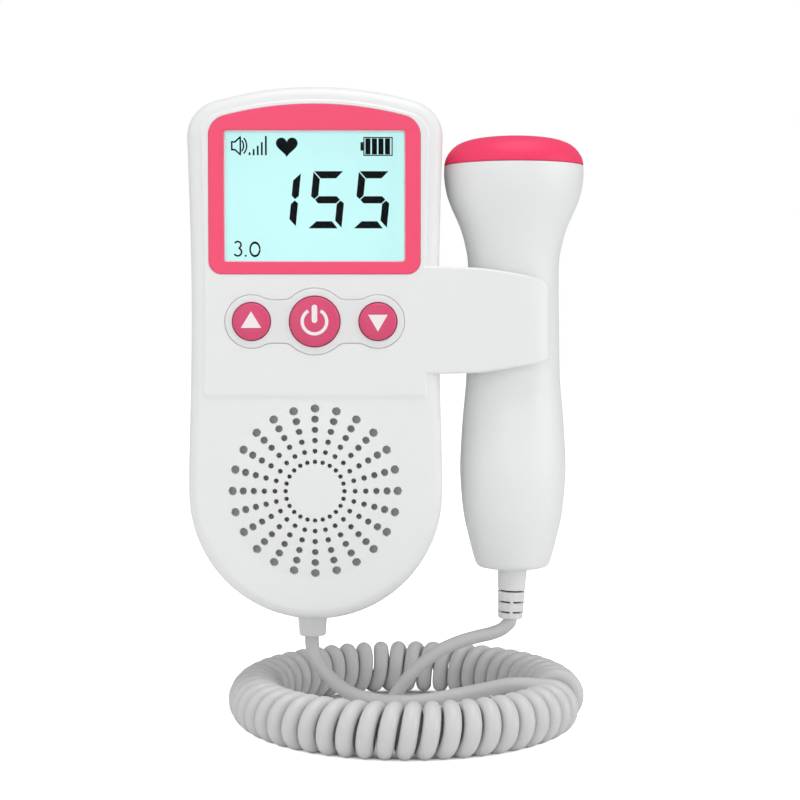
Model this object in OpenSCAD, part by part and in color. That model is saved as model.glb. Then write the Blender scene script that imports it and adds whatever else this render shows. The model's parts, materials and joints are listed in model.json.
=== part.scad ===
// Fetal doppler monitor: a hand-held main unit with display, keys, speaker and
// side clip, and a probe on a curly cord. Millimetres, +Z up, the front faces -Y,
// and the origin is the middle of the flat rest face on the back.

/* [Main unit] */
// Height of the crowned top above the foot line
body_h = 130.6; // [125:0.2:140]
// How far the round foot hangs below the foot line, from which all heights count
foot_drop = 0.75; // [0:0.05:1]
// Width of the main unit at its round foot
body_w = 62.8; // [61:0.2:66]
// Thickness of the main unit, back plane to lower front face
body_t = 34; // [33:0.5:38]
// Wall thickness of both shells
wall = 2.2; // [1.8:0.1:2.6]
// Radius of the long outer edges
edge_r = 3.5; // [3:0.1:5]
// Radius of the two top corners
corner_r = 9; // [5.08:0.28:9.56]
// How far each side draws in at the waist
waist_in = 0.9; // [0.4:0.1:1.2]
// Height of the waist above the foot
waist_h = 78; // [70:1:85]
// Height of the seam between the shells above the back plane
split_d = 17; // [16:0.5:19]
// Height of the back rest face's middle above the foot
mount_h = 97.5; // [92:0.5:104]
// Height of the step below the raised upper front
step_h = 54.6; // [54:0.2:57]
// How far the upper front stands above the lower one
step_rise = 0.4; // [0.2:0.1:0.6]

/* [Display] */
// Width of the coloured bezel
bezel_w = 51.8; // [50:0.2:54]
// Height of the bezel's lower edge above the foot
bezel_low = 84.7; // [84:0.1:86]
// Height of the bezel's crowned upper edge above the foot
bezel_high = 126.1; // [125.5:0.1:126.4]
// Radius of the bezel's crowned upper edge
bezel_crown_r = 88; // [80:1:96]
// Radius of the bezel's two shoulders
bezel_shoulder_r = 5; // [3:0.1:6]
// Corner radius at the bezel's foot
bezel_corner = 3.2; // [2:0.1:5]
// Thickness of the bezel plate
bezel_t = 1.0; // [0.8:0.1:1.1]
// How far bezel and key surround stand above the front
bezel_proud = 0.2; // [0.1:0.1:0.4]
// Width of the clear window
window_w = 44.2; // [42:0.2:45]
// Height of the clear window
window_h = 31.9; // [30:0.1:32.5]
// Height of the window's lower edge above the foot
window_low = 87.8; // [87.4:0.1:88.4]
// Width that the front shell overlaps behind the window's edge
window_lip = 0.8; // [0.5:0.1:1.2]
// Thickness of the display glass
lcd_t = 2.8; // [2:0.1:3]
// Width of the display glass beyond the window, each side
lcd_margin = 1.0; // [0.8:0.1:1.1]

/* [Keys] */
// Height of the key row above the foot
key_h = 73.1; // [72:0.1:74]
// Distance from the middle key to each side key
key_pitch = 15.5; // [14.5:0.1:16.5]
// Diameter of the side keys
side_key_d = 9.4; // [8:0.1:10]
// Diameter of the power key
power_key_d = 12.5; // [11:0.1:13]
// How far the keys stand above the front
key_proud = 1.0; // [0.9:0.1:1.6]
// How far a key travels when it is pressed
key_travel = 0.8; // [0.4:0.1:0.8]
// Gap round a key
key_gap = 0.3; // [0.2:0.05:0.4]
// Radius of the key surround round the power key
lobe_mid_r = 8.1; // [7.6:0.1:8.6]
// Radius of the key surround round each side key
lobe_side_r = 6.5; // [6.2:0.1:7]
// Height of the key surround between its lobes
lobe_neck = 10.4; // [9:0.2:11]

/* [Speaker] */
// Rows of grille holes round the middle
grille_rows = 24; // [12:1:24]
// Rings of grille holes
grille_rings = 6; // [3:1:6]
// Radius of the innermost ring of holes
grille_r0 = 7.24; // [6.5:0.01:7.3]
// Distance from ring to ring
grille_pitch = 2.62; // [2.4:0.01:2.64]
// Diameter of the innermost holes
grille_d0 = 1.1; // [0.8:0.1:1.2]
// Diameter of the outermost holes
grille_d1 = 2.1; // [1.4:0.1:2.1]
// Radius of the domed grille field
dome_r = 22; // [21.8:0.1:22.4]
// Rise of the domed grille field
dome_rise = 0.8; // [0.4:0.1:1.2]
// Radius of the speaker's frame
speaker_r = 22.2; // [21.5:0.1:22.4]
// Depth of the speaker's basket
basket_depth = 7.0; // [6:0.1:7.5]
// Thickness of the speaker's magnet
magnet_t = 3.6; // [2:0.1:3.8]

/* [Battery bay] */
// Diameter of an AA cell
cell_d = 14.2; // [13.8:0.1:14.4]
// Length of an AA cell over its button
cell_len = 50.5; // [49.5:0.1:50.5]
// Distance between the two cells' axes
cell_pitch = 15.2; // [14.8:0.1:15.6]
// Height of the bay's lower end above the foot
bay_low = 14; // [13:0.5:15]
// Length of a pressed contact spring
spring_len = 4.5; // [3.5:0.1:5]
// Thickness of the contact plates
contact_t = 0.5; // [0.3:0.1:0.6]
// Thickness of the bay's walls
bay_wall = 2.5; // [2.3:0.1:2.7]
// Width of the ledge that the door lies over
door_ledge = 1.5; // [1.3:0.1:1.6]
// Gap round the door
door_gap = 0.3; // [0.2:0.05:0.4]
// Radius of the door's hinge pins
hinge_pin_r = 0.7; // [0.5:0.05:0.75]

/* [Clip] */
// Height of the clip's lower edge at the body, above the foot
clip_low = 60.1; // [58:0.1:61]
// Height of the clip's upper edge at the body, above the foot
clip_high = 86.8; // [86:0.1:88]
// Reach of the clip's front jaw from the body's centreline
clip_reach = 58; // [57:0.1:60]
// How much each edge of the clip draws in at its tip
clip_draw = 3.0; // [2:0.1:4]
// Running gap between the clip and the probe's neck
clip_gap = 0.4; // [0.3:0.1:0.6]
// Thickness of the clip's rear jaw
jaw_t = 3.4; // [2.8:0.1:3.6]

/* [Probe] */
// Distance of the probe's axis from the body's centreline
probe_x = 49.7; // [49.5:0.1:52]
// Depth of the probe's axis above the back plane
probe_d = 18; // [17.8:0.1:18.4]
// Height of the probe's lower end above the foot
probe_low = 10.4; // [10:0.1:11]
// Radius of the probe's neck where the clip holds it
neck_r = 11.9; // [11.6:0.1:12]
// Radius of the probe's head
head_r = 17.6; // [17:0.1:17.7]
// Wall thickness of the probe
probe_wall = 1.8; // [1.5:0.1:2.1]
// Thickness of the coloured cap at its rim
cap_h = 5.8; // [5:0.1:6.5]
// Rise of the cap's crowned face
cap_rise = 1.5; // [0.8:0.1:2]

/* [Cord] */
// Diameter of the cord
cord_d = 3.5; // [3.2:0.05:3.5]
// Curls in the cord
curls = 50; // [46:1:50]
// Radius of the ring that the curls lie in, to their middle
ring_r = 38.6; // [38:0.1:40]
// Radius of one curl, to the middle of the cord
curl_r = 5.25; // [5:0.05:5.4]

/* [Hidden] */

arc_steps = 7;              // straight steps in each quarter of a rounded edge
seat = 0.2;                 // gap at a plain seat
deep = 60;                  // longer than any cut has to be
$fn = 48;

// Main unit: x across, y up from the foot, z forward from the back plane.
half_w = body_w / 2;
foot_y = half_w;                                    // centre of the grille and speaker
round_y = foot_y - foot_drop;                       // centre of the round foot
lean_x = 0.28;                                      // way from the crown's centre to a corner's,
lean_y = 0.96;                                      // in numbers that let both arcs meet exactly
prism_reach = body_w;                               // how far the prisms that part the arcs reach
corner_x = half_w - corner_r;
crown_r = corner_r + corner_x / lean_x;             // radius of the crowned top edge
crown_y = body_h - crown_r;                         // centre of the crown
corner_y = crown_y + corner_x * lean_y / lean_x;
corner_turn = atan2(lean_y, lean_x);
waist_span = 45;                                    // half the height of the waist's hollow
waist_r = (pow(waist_span, 2) + pow(waist_in, 2)) / (2 * waist_in);
inner_front = body_t - wall;
top_front = body_t + step_rise;                     // face of the raised upper front

// Display stack, from the front inwards.
recess_d = top_front + bezel_proud - bezel_t;       // floor of the bezel's recess
lcd_front = inner_front - seat;
lcd_back = lcd_front - lcd_t;
lcd_w = window_w + 2 * lcd_margin;
lcd_low = window_low - lcd_margin;
lcd_high = window_low + window_h + lcd_margin;
board_t = 1.6;
backlight_t = 3.0;
board_front = lcd_back - backlight_t;
board_back = board_front - board_t;
board_half = lcd_w / 2 + 0.2;
board_low = 57;
board_high = lcd_high + 3.8;
board_screw_places = [[-20.5, board_low + 5.5], [20.5, board_low + 5.5],
    [-12, board_high - 2.2], [12, board_high - 2.2]];
board_screw_r = 0.95;
board_boss_r = 1.9;

// Keys and their switches.
key_places = [[-key_pitch, side_key_d], [0, power_key_d], [key_pitch, side_key_d]];
key_face = top_front + key_proud;
flange_front = inner_front - seat;
flange_t = 0.8;
flange_over = 1.1;
key_back = flange_front - flange_t;
plunger_r = 1.7;
plunger_len = 2.3;
switch_side = 6;
switch_front = key_back - key_travel - 0.3;
switch_bore_end = key_back - plunger_len - key_travel - seat;

// Speaker.
cloth_t = 0.4;
speaker_front = inner_front - cloth_t;
basket_t = 0.8;
basket_back = speaker_front - basket_depth;
magnet_r = 10.5;
collar_r = speaker_r + 0.3;
collar_t = 1.1;
collar_len = 3.5;

// Battery bay and door.
door_t = wall;
bay_half = cell_pitch / 2 + cell_d / 2 + 0.4;
bay_len = cell_len + spring_len + 2 * contact_t;
bay_high = bay_low + bay_len;
bay_open = door_t + seat;
bay_floor = bay_open + cell_d + 0.6;
cell_z = bay_open + cell_d / 2 + 0.3;
opening_half = bay_half + door_ledge;
opening_low = bay_low - door_ledge;
opening_high = bay_high + door_ledge;
door_half = opening_half - door_gap;
door_low = opening_low + door_gap;
door_high = opening_high - door_gap;
hinge_y = door_high - door_t / 2;
hinge_z = door_t / 2;
hinge_pin_len = 1.7;
pin_gap = 0.06;

// Shell screws: two in the top corners, two beside the speaker.
boss_r = 2.6;
screw_shank_r = 1.1;
screw_head_r = 2.0;
screw_head_t = 1.4;
head_seat = 8;
screw_tip = split_d + 8;
upper_screw = [half_w - 5, lcd_high - 3.4];
lower_screw = [24.3, foot_y - 7.2];
shell_screw_places = [[-upper_screw[0], upper_screw[1]], upper_screw,
    [-lower_screw[0], lower_screw[1]], lower_screw];

// Clip, and the hollow that holds the probe's neck.
clip_r = neck_r + clip_gap;
clip_root = half_w - 2;
front_inner = probe_d + clip_r;
rear_inner = probe_d - clip_r;

// Probe outline from its lower end: height, radius.
probe_outline = [[0, 7.4], [0.5, 8.9], [2.3, 9.8], [7.6, 11.2], [14.2, 12.6], [23.6, 13.4], [30, 13.3],
    [38, 12.8], [48.8, neck_r], [62, neck_r - 0.3], [76.4, neck_r - 0.4], [82.2, 12.3],
    [86.6, 13.6], [92.1, head_r - 1.6], [95.6, head_r - 0.5], [99.1, head_r], [101.85, head_r]];
cap_low = 101.85;
cap_high = cap_low + cap_h;
cap_t = 1.6;
spigot_len = 3.3;
spigot_r = head_r - probe_wall - 0.1;
spigot_t = 1.4;
element_r = spigot_r - spigot_t - 1.3;
element_t = 1.0;
element_gap = 1.2;
backing_t = 5;
probe_board_half = neck_r - 0.4 - probe_wall - 0.4;
relief_r0 = 3.75;
relief_r1 = 3.1;
relief_len = 12.9;
relief_lean = 2.5;
relief_gap = 0.3;                                   // below the handle, clear of it at that lean

// Cord.
cord_r = cord_d / 2;
gland_x = -1.3;
gland_r0 = 3.85;
gland_r1 = 3.3;
gland_drop = 6.35;                                  // below the round foot
floor_z = -127.5;                                     // what the curls lie on
ring_x = 22.6;
ring_y = -17.5;
ring_z = floor_z + cord_r + curl_r;
turn_from = 20;                                     // where the curls start round the ring
turn_to = 358;
curl_rings = 8;

// ---------------------------------------------------------------- helpers

// Stands a main unit shape upright behind its front.
module stand() {
    translate([0, 0, -mount_h]) rotate([90, 0, 0]) children();
}

// Places a shape of the probe, which is drawn upright from its lower end.
module at_probe() {
    translate([probe_x, -probe_d, probe_low - mount_h]) children();
}

// Points round an arc, rounded to a micrometre so that neighbours share them exactly.
function arc(x, y, r, from, to, n = arc_steps) =
    [for (i = [0:n]) let (a = from + (to - from) * i / n)
        [x + round(1000 * r * cos(a)) / 1000, y + round(1000 * r * sin(a)) / 1000]];

// Half section of the body, from a start to its rounded rim, inset all round.
function rim_section(start, reach, inset) =
    let (r = edge_r - inset, x = reach - inset - r)
    concat([[start, inset]], arc(x, inset + r, r, -90, 0),
        arc(x, body_t - inset - r, r, 0, 90), [[start, body_t - inset]]);

// The whole body's form, all arcs and rounded edges, drawn in by the inset.
module body_form(inset) {
    section = rim_section(0, half_w, inset);
    difference() {
        union() {
            translate([0, round_y, 0]) rotate_extrude() polygon(section);
            translate([0, corner_y, 0]) rotate([90, 0, 0]) linear_extrude(corner_y - round_y)
                polygon(concat(section, [for (i = [len(section) - 1:-1:0]) [-section[i][0], section[i][1]]]));
            for (side = [-1, 1]) intersection() {
                translate([side * corner_x, corner_y, 0])
                    rotate_extrude() polygon(rim_section(0, corner_r, inset));
                translate([0, 0, -1]) linear_extrude(body_t + 2)
                    polygon([[side * corner_x, corner_y], [side * (corner_x + prism_reach), corner_y],
                        [side * (corner_x + prism_reach), corner_y + prism_reach * lean_y],
                        [side * (corner_x + prism_reach * lean_x), corner_y + prism_reach * lean_y]]);
            }
            intersection() {
                translate([0, crown_y, 0]) rotate_extrude() polygon(rim_section(0, crown_r, inset));
                translate([0, 0, -1]) linear_extrude(body_t + 2)
                    polygon([[-corner_x, corner_y], [corner_x, corner_y],
                        [corner_x + prism_reach * lean_x, corner_y + prism_reach * lean_y],
                        [-corner_x - prism_reach * lean_x, corner_y + prism_reach * lean_y]]);
            }
        }
        for (side_sign = [-1, 1])
            translate([side_sign * (half_w - waist_in + waist_r), waist_h, -1])
                cylinder(r = waist_r + inset, h = body_t + 2, $fn = 360);
    }
}

// A slab across the body between two depths.
module slab(from, to) {
    translate([-deep, -deep, from]) cube([2 * deep + 80, 4 * deep, to - from]);
}

// Flat outline of the raised upper front.
function plateau_outline() =
    let (in = edge_r - 0.3, c = corner_r - in)
    concat([[-half_w + in + waist_in / 2, step_h], [half_w - in - waist_in / 2, step_h]],
        arc(corner_x - waist_in / 2, corner_y, c, 0, corner_turn),
        arc(0, crown_y, crown_r - in, corner_turn, 180 - corner_turn, 12),
        arc(-corner_x + waist_in / 2, corner_y, c, 180 - corner_turn, 180));

// Outline of the bezel, grown by g: round foot corners, small shoulders, a crown.
function bezel_outline(g) =
    let (w = bezel_w / 2 + g, r = bezel_corner + g, s = bezel_shoulder_r + g, low = bezel_low - g,
        chord = bezel_w / 2 - bezel_shoulder_r,
        middle = bezel_high - bezel_crown_r,
        lean = asin(chord / (bezel_crown_r - bezel_shoulder_r)),
        shoulder = middle + (bezel_crown_r - bezel_shoulder_r) * cos(lean))
    concat(arc(-w + r, low + r, r, 180, 270, 5), arc(w - r, low + r, r, 270, 360, 5),
        arc(chord, shoulder, s, 0, 90 - lean, 5),
        arc(0, middle, bezel_crown_r + g, 90 - lean + 1, 90 + lean - 1, 12),
        arc(-chord, shoulder, s, 90 + lean, 180, 5));

// Three-lobed plate round the keys, grown by g.
module surround_outline(g) {
    circle(r = lobe_mid_r + g);
    for (x = [-key_pitch, key_pitch]) translate([x, 0]) circle(r = lobe_side_r + g);
    square([2 * key_pitch, lobe_neck + 2 * g], center = true);
}

// Holes for the three keys with a gap round each.
module key_holes(from, to, gap) {
    for (k = key_places)
        translate([k[0], key_h, from]) cylinder(d = k[1] + 2 * gap, h = to - from);
}

// A rectangular plate with round corners, drawn from its lower middle.
module plate(half, low, high, from, to, r) {
    points = concat(arc(half - r, low + r, r, -90, 0, 5), arc(half - r, high - r, r, 0, 90, 5),
        arc(-half + r, high - r, r, 90, 180, 5), arc(-half + r, low + r, r, 180, 270, 5));
    translate([0, 0, from]) linear_extrude(to - from) polygon(points);
}

// ---------------------------------------------------------------- clip

// Side view of the clip: jaws with their tips drawn thin, cut by the probe's hollow.
module clip_block() {
    mid = (clip_low + clip_high) / 2;
    bend = probe_x;
    front_view = [[clip_root - 2, clip_low], [clip_root + 10, clip_low + 0.3],
        [bend + 2, clip_low + clip_draw - 0.8], [clip_reach - 0.6, clip_low + clip_draw],
        [clip_reach, clip_low + clip_draw + 0.8], [clip_reach, clip_high - clip_draw - 3.4],
        [clip_reach - 0.6, clip_high - clip_draw - 1.6], [clip_reach - 2, clip_high - clip_draw - 0.5],
        [bend + 1, clip_high - clip_draw + 0.9], [clip_root + 10, clip_high - 0.5],
        [clip_root - 2, clip_high]];
    top_view = [[clip_root - 2, rear_inner - jaw_t], [bend + 4, rear_inner - jaw_t],
        [clip_reach - 2, rear_inner - jaw_t + 0.6], [clip_reach - 0.7, rear_inner - jaw_t + 1.8],
        [clip_reach - 0.7, rear_inner], [clip_reach, front_inner], [clip_reach, front_inner + 0.6],
        [clip_reach - 0.8, front_inner + 1.6], [clip_reach - 2.6, top_front - 1.3],
        [clip_reach - 5.2, top_front - 0.4], [bend, top_front], [clip_root - 2, top_front]];
    intersection() {
        linear_extrude(body_t + 5) polygon(front_view);
        translate([0, mid + deep / 2, 0]) rotate([90, 0, 0]) linear_extrude(deep) polygon(top_view);
    }
}

// The hollow of the clip: half round behind the probe's axis, open to the side.
module clip_hollow() {
    translate([probe_x, clip_low - 2, probe_d]) rotate([-90, 0, 0])
        cylinder(r = clip_r, h = clip_high - clip_low + 4);
    translate([probe_x, clip_low - 2, rear_inner]) cube([deep, clip_high - clip_low + 4, 2 * clip_r]);
}

// ---------------------------------------------------------------- shells

// Seat for the cord gland in both shells at the foot.
module gland_hole() {
    translate([gland_x, -1 - foot_drop, split_d]) rotate([-90, 0, 0])
        cylinder(r = gland_r0 - 0.35, h = wall + 3);
}

module front_shell() {
    color("white") stand() difference() {
        union() {
            difference() {
                intersection() {
                    body_form(0);
                    slab(split_d, body_t + 1);
                }
                body_form(wall);
            }
            translate([0, 0, inner_front + 0.5]) linear_extrude(top_front - inner_front - 0.5)
                polygon(plateau_outline());
            intersection() {
                translate([0, foot_y, body_t + dome_rise - (pow(dome_r, 2) + pow(dome_rise, 2))
                    / (2 * dome_rise)])
                    sphere(r = (pow(dome_r, 2) + pow(dome_rise, 2)) / (2 * dome_rise), $fn = 200);
                translate([0, foot_y, body_t - 0.6]) cylinder(r = dome_r, h = 3);
            }
            intersection() {
                clip_block();
                slab(split_d, top_front);
            }
            for (p = board_screw_places)
                translate([p[0], p[1], board_front])
                    cylinder(r = board_boss_r, h = inner_front - board_front + 0.4);
            for (p = shell_screw_places)
                translate([p[0], p[1], split_d])
                    cylinder(r = boss_r, h = inner_front - split_d + 0.4);
            translate([0, foot_y, inner_front - collar_len]) difference() {
                cylinder(r = collar_r + collar_t, h = collar_len + 0.4);
                translate([0, 0, -1]) cylinder(r = collar_r, h = collar_len + 1);
            }
        }
        translate([0, 0, recess_d]) linear_extrude(3) polygon(bezel_outline(seat / 2));
        plate(window_w / 2 - window_lip, window_low + window_lip, window_low + window_h - window_lip,
            inner_front - 1, top_front + 1, 1.5);
        translate([0, key_h, recess_d]) linear_extrude(3) surround_outline(seat / 2);
        key_holes(inner_front - 1, top_front + 1, key_gap);
        for (ring = [0:grille_rings - 1], row = [0:grille_rows - 1])
            translate([0, foot_y, 0]) rotate([0, 0, row * 360 / grille_rows])
                translate([grille_r0 + ring * grille_pitch, 0, inner_front - 1])
                cylinder(d = grille_d0 + (grille_d1 - grille_d0) * pow(ring / (grille_rings - 1), 1.5),
                    h = wall + 3, $fn = 16);
        for (p = board_screw_places)
            translate([p[0], p[1], board_front - 1]) cylinder(r = board_screw_r + 0.05, h = 6);
        for (p = shell_screw_places)
            translate([p[0], p[1], split_d - 1]) cylinder(r = screw_shank_r + 0.05, h = screw_tip - split_d + 1.5);
        clip_hollow();
        gland_hole();
    }
}

module rear_shell() {
    color("white") stand() difference() {
        union() {
            difference() {
                intersection() {
                    body_form(0);
                    slab(-1, split_d);
                }
                body_form(wall);
            }
            intersection() {
                clip_block();
                slab(0, split_d);
            }
            translate([-bay_half - bay_wall, bay_low - bay_wall, wall - 0.4])
                cube([2 * (bay_half + bay_wall), bay_len + 2 * bay_wall, bay_floor + 1.5 - wall + 0.4]);
            for (p = shell_screw_places)
                translate([p[0], p[1], wall - 0.4]) cylinder(r = boss_r + 0.3, h = split_d - wall + 0.4);
        }
        translate([-bay_half, bay_low, bay_open - 1])
            cube([2 * bay_half, bay_len, bay_floor - bay_open + 1]);
        plate(opening_half, opening_low, hinge_y, -1, bay_open, 1.5);
        translate([-opening_half, hinge_y - 3, -1])
            cube([2 * opening_half, opening_high - hinge_y + 3, bay_open + 1]);
        for (side_sign = [-1, 1])
            translate([side_sign * (opening_half - 0.5), hinge_y, hinge_z])
                rotate([0, side_sign * 90, 0])
                cylinder(r = hinge_pin_r + pin_gap, h = hinge_pin_len + 0.5);
        for (p = shell_screw_places) translate([p[0], p[1], -1]) {
            cylinder(r = screw_head_r + 0.3, h = head_seat + 1);
            cylinder(r = screw_shank_r + 0.2, h = deep);
        }
        clip_hollow();
        gland_hole();
    }
}

// ---------------------------------------------------------------- display

module display_bezel() {
    color("hotpink") stand() difference() {
        translate([0, 0, recess_d]) linear_extrude(bezel_t) polygon(bezel_outline(0));
        plate(window_w / 2 + 0.1, window_low - 0.1, window_low + window_h + 0.1,
            recess_d - 1, recess_d + bezel_t + 1, 0.6);
    }
}

module display_window() {
    color("lightcyan") stand()
        plate(window_w / 2, window_low, window_low + window_h, recess_d, recess_d + bezel_t - 0.1, 0.5);
}

module lcd_glass() {
    color("paleturquoise") stand() plate(lcd_w / 2, lcd_low, lcd_high, lcd_back, lcd_front, 0.3);
}

module lcd_backlight() {
    color("white") stand()
        plate(lcd_w / 2 - 0.6, lcd_low + 0.5, lcd_high - 0.5, board_front, lcd_back, 0.3);
}

module main_board() {
    color("seagreen") stand() difference() {
        union() {
            plate(board_half, board_low, board_high, board_back, board_front, 1);
            translate([-8, board_low + 39, board_back - 1.6]) cube([12, 12, 1.8]);
            translate([10, board_low + 25, board_back - 1.4]) cube([7, 5, 1.6]);
            translate([-16, board_low + 23, board_back - 1.4]) cube([5, 6, 1.6]);
        }
        for (p = board_screw_places)
            translate([p[0], p[1], board_back - 1]) cylinder(r = board_screw_r + 0.2, h = board_t + 2);
    }
}

// A cross-headed screw that points forward from its head.
module screw(head_r, head_t, shank_r, length) {
    difference() {
        union() {
            translate([0, 0, -head_t]) cylinder(r = head_r, h = head_t);
            cylinder(r = shank_r, h = length);
        }
        for (turn = [0, 90]) rotate([0, 0, turn])
            translate([-head_r * 0.6, -0.2, -head_t - 1]) cube([head_r * 1.2, 0.4, 1.6]);
    }
}

module board_screws() {
    color("silver") stand() for (p = board_screw_places)
        translate([p[0], p[1], board_back]) screw(1.9, 1.1, board_screw_r, 6);
}

module shell_screws() {
    color("silver") stand() for (p = shell_screw_places)
        translate([p[0], p[1], head_seat]) screw(screw_head_r, screw_head_t, screw_shank_r, screw_tip - head_seat);
}

// ---------------------------------------------------------------- keys

module button_surround() {
    color("gainsboro") stand() difference() {
        translate([0, key_h, recess_d]) linear_extrude(bezel_t) surround_outline(0);
        key_holes(recess_d - 1, recess_d + bezel_t + 1, key_gap);
    }
}

// A key: a crowned button with a flange that keeps it behind the front.
module key(place) {
    r = place[1] / 2;
    crown = [[0, 0.25], [r * 0.6, 0.15], [r - 0.8, -0.1], [r - 0.25, -0.35], [r, -0.8]];
    color("hotpink") stand() translate([place[0], key_h, 0])
        rotate_extrude() polygon(concat([for (p = crown) [p[0], key_face + p[1]]],
            [[r, flange_front], [r + flange_over, flange_front], [r + flange_over, key_back],
            [0, key_back]]));
}

module button_up() { key(key_places[0]); }
module button_power() { key(key_places[1]); }
module button_down() { key(key_places[2]); }

// The plunger of a switch, which the key's back rests on.
module plunger(place) {
    color("dimgray") stand() translate([place[0], key_h, key_back - plunger_len])
        cylinder(r = plunger_r, h = plunger_len);
}

module plunger_up() { plunger(key_places[0]); }
module plunger_power() { plunger(key_places[1]); }
module plunger_down() { plunger(key_places[2]); }

module key_switches() {
    color("slategray") stand() for (k = key_places) translate([k[0], key_h, 0]) difference() {
        translate([-switch_side / 2, -switch_side / 2, board_front])
            cube([switch_side, switch_side, switch_front - board_front]);
        translate([0, 0, switch_bore_end]) cylinder(r = plunger_r + 0.08, h = deep);
    }
}

// ---------------------------------------------------------------- speaker

module grille_cloth() {
    color("dimgray") stand() translate([0, foot_y, speaker_front]) cylinder(r = dome_r - 0.1, h = cloth_t);
}

module speaker_frame() {
    seat_r = magnet_r - 1;
    color("darkgray") stand() translate([0, foot_y, 0]) rotate_extrude() polygon([
        [speaker_r - 2.2, speaker_front], [speaker_r, speaker_front], [speaker_r, speaker_front - 1.2],
        [speaker_r - 1.6, speaker_front - 1.2 - basket_t], [magnet_r + 0.6, basket_back],
        [magnet_r - 3.5, basket_back], [magnet_r - 3.5, basket_back + basket_t],
        [seat_r, basket_back + basket_t], [speaker_r - 2.9, speaker_front - 1.2]]);
}

module speaker_cone() {
    color("black") stand() translate([0, foot_y, 0]) rotate_extrude() polygon([
        [0, speaker_front - 2.6], [3.2, speaker_front - 3.0], [5.4, speaker_front - 4.4],
        [speaker_r - 6, speaker_front - 1.6], [speaker_r - 4.4, speaker_front - 0.7],
        [speaker_r - 3, speaker_front - 1.0], [speaker_r - 3.4, speaker_front - 1.25],
        [speaker_r - 4.4, speaker_front - 1.2], [speaker_r - 6, speaker_front - 2.1],
        [5.2, speaker_front - 5.0], [4.2, speaker_front - 5.0], [2.9, speaker_front - 3.5],
        [0, speaker_front - 3.1]]);
}

module speaker_magnet() {
    color("gray") stand() translate([0, foot_y, basket_back - magnet_t]) rotate_extrude()
        polygon([[0, 0], [magnet_r - 0.4, 0], [magnet_r, 0.4], [magnet_r, magnet_t],
            [4.4, magnet_t], [4.4, magnet_t - 1.4], [3.4, magnet_t - 1.4],
            [3.4, magnet_t + 1.6], [0, magnet_t + 1.6]]);
}

// ---------------------------------------------------------------- battery bay

module battery_door() {
    color("white") stand() difference() {
        union() {
            plate(door_half, door_low, hinge_y, 0, door_t, 1.2);
            translate([-door_half, hinge_y - 3, 0]) cube([2 * door_half, 3, door_t]);
            translate([-door_half, hinge_y, hinge_z]) rotate([0, 90, 0])
                cylinder(r = hinge_z, h = 2 * door_half);
            translate([-door_half - hinge_pin_len, hinge_y, hinge_z]) rotate([0, 90, 0])
                cylinder(r = hinge_pin_r, h = 2 * (door_half + hinge_pin_len));
        }
        translate([0, door_low - 3, 0]) cylinder(r = 7, h = 0.9);
    }
}

// An AA cell that stands on its flat end.
module cell() {
    rotate_extrude() polygon([[0, 0], [cell_d / 2 - 0.5, 0], [cell_d / 2, 0.5],
        [cell_d / 2, cell_len - 1.9], [cell_d / 2 - 0.6, cell_len - 1.3],
        [2.75, cell_len - 1.3], [2.75, cell_len - 0.2], [2.5, cell_len], [0, cell_len]]);
}

module aa_cell_left() {
    color("goldenrod") stand() translate([-cell_pitch / 2, bay_low + contact_t + spring_len, cell_z])
        rotate([-90, 0, 0]) cell();
}

module aa_cell_right() {
    color("goldenrod") stand() translate([cell_pitch / 2, bay_high - contact_t - spring_len, cell_z])
        rotate([90, 0, 0]) cell();
}

module battery_contacts() {
    color("silver") stand() {
        translate([-cell_pitch / 2 - 6, bay_low, cell_z - 6]) cube([cell_pitch + 12, contact_t, 12]);
        for (x = [-cell_pitch / 2 - 6, cell_pitch / 2 - 6])
            translate([x, bay_high - contact_t, cell_z - 6]) cube([12, contact_t, 12]);
    }
}

// Each spring as the cone that its turns lie in.
module battery_springs() {
    color("silver") stand() {
        translate([-cell_pitch / 2, bay_low + contact_t, cell_z]) rotate([-90, 0, 0])
            cylinder(r1 = 4.6, r2 = 2.6, h = spring_len);
        translate([cell_pitch / 2, bay_high - contact_t, cell_z]) rotate([90, 0, 0])
            cylinder(r1 = 4.6, r2 = 2.6, h = spring_len);
    }
}

// ---------------------------------------------------------------- cord

module cord_gland() {
    // the flange stands this far above the wall's thickness, clear of the curved floor
    flange_lift = 0.8;
    color("lightgray") stand() translate([gland_x, -foot_drop, split_d]) rotate([-90, 0, 0]) rotate_extrude()
        polygon([[0, -gland_drop], [gland_r1 - 0.5, -gland_drop], [gland_r1, -gland_drop + 0.5],
            [gland_r0 - 0.15, -1.3], [gland_r0, -0.9], [gland_r0, -0.25], [gland_r0 - 0.4, -0.25],
            [gland_r0 - 0.4, wall + flange_lift], [gland_r0 + 0.8, wall + flange_lift],
            [gland_r0 + 0.8, wall + flange_lift + 1.4], [0, wall + flange_lift + 1.4]]);
}

// A point of the curly cord at a turn of the curl, counted down from its start.
turn_span = turn_to - turn_from;
function curl_point(turn) =
    let (round = turn_from + turn_span * turn / (360 * curls), tilt = 90 - turn,
        reach = ring_r + curl_r * cos(tilt))
    [ring_x + reach * cos(round), ring_y - reach * sin(round), ring_z + curl_r * sin(tilt)];

last_turn = 360 * curls + 180;
curl_step = 360 / curl_rings;
curl_middle = [for (t = [0:curl_step:last_turn]) curl_point(t)];

function unit(v) = v / norm(v);

// Least distance between one turn and the next, less the cord's own diameter.
gap_step = 10;
fine = [for (t = [0:gap_step:4 * 360]) curl_point(t)];
turn_gap = min([for (i = [0:36], j = [i + 24:min(i + 50, len(fine) - 1)]) norm(fine[i] - fine[j])]) - cord_d;
echo("least gap between the curls, mm", turn_gap);

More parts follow.
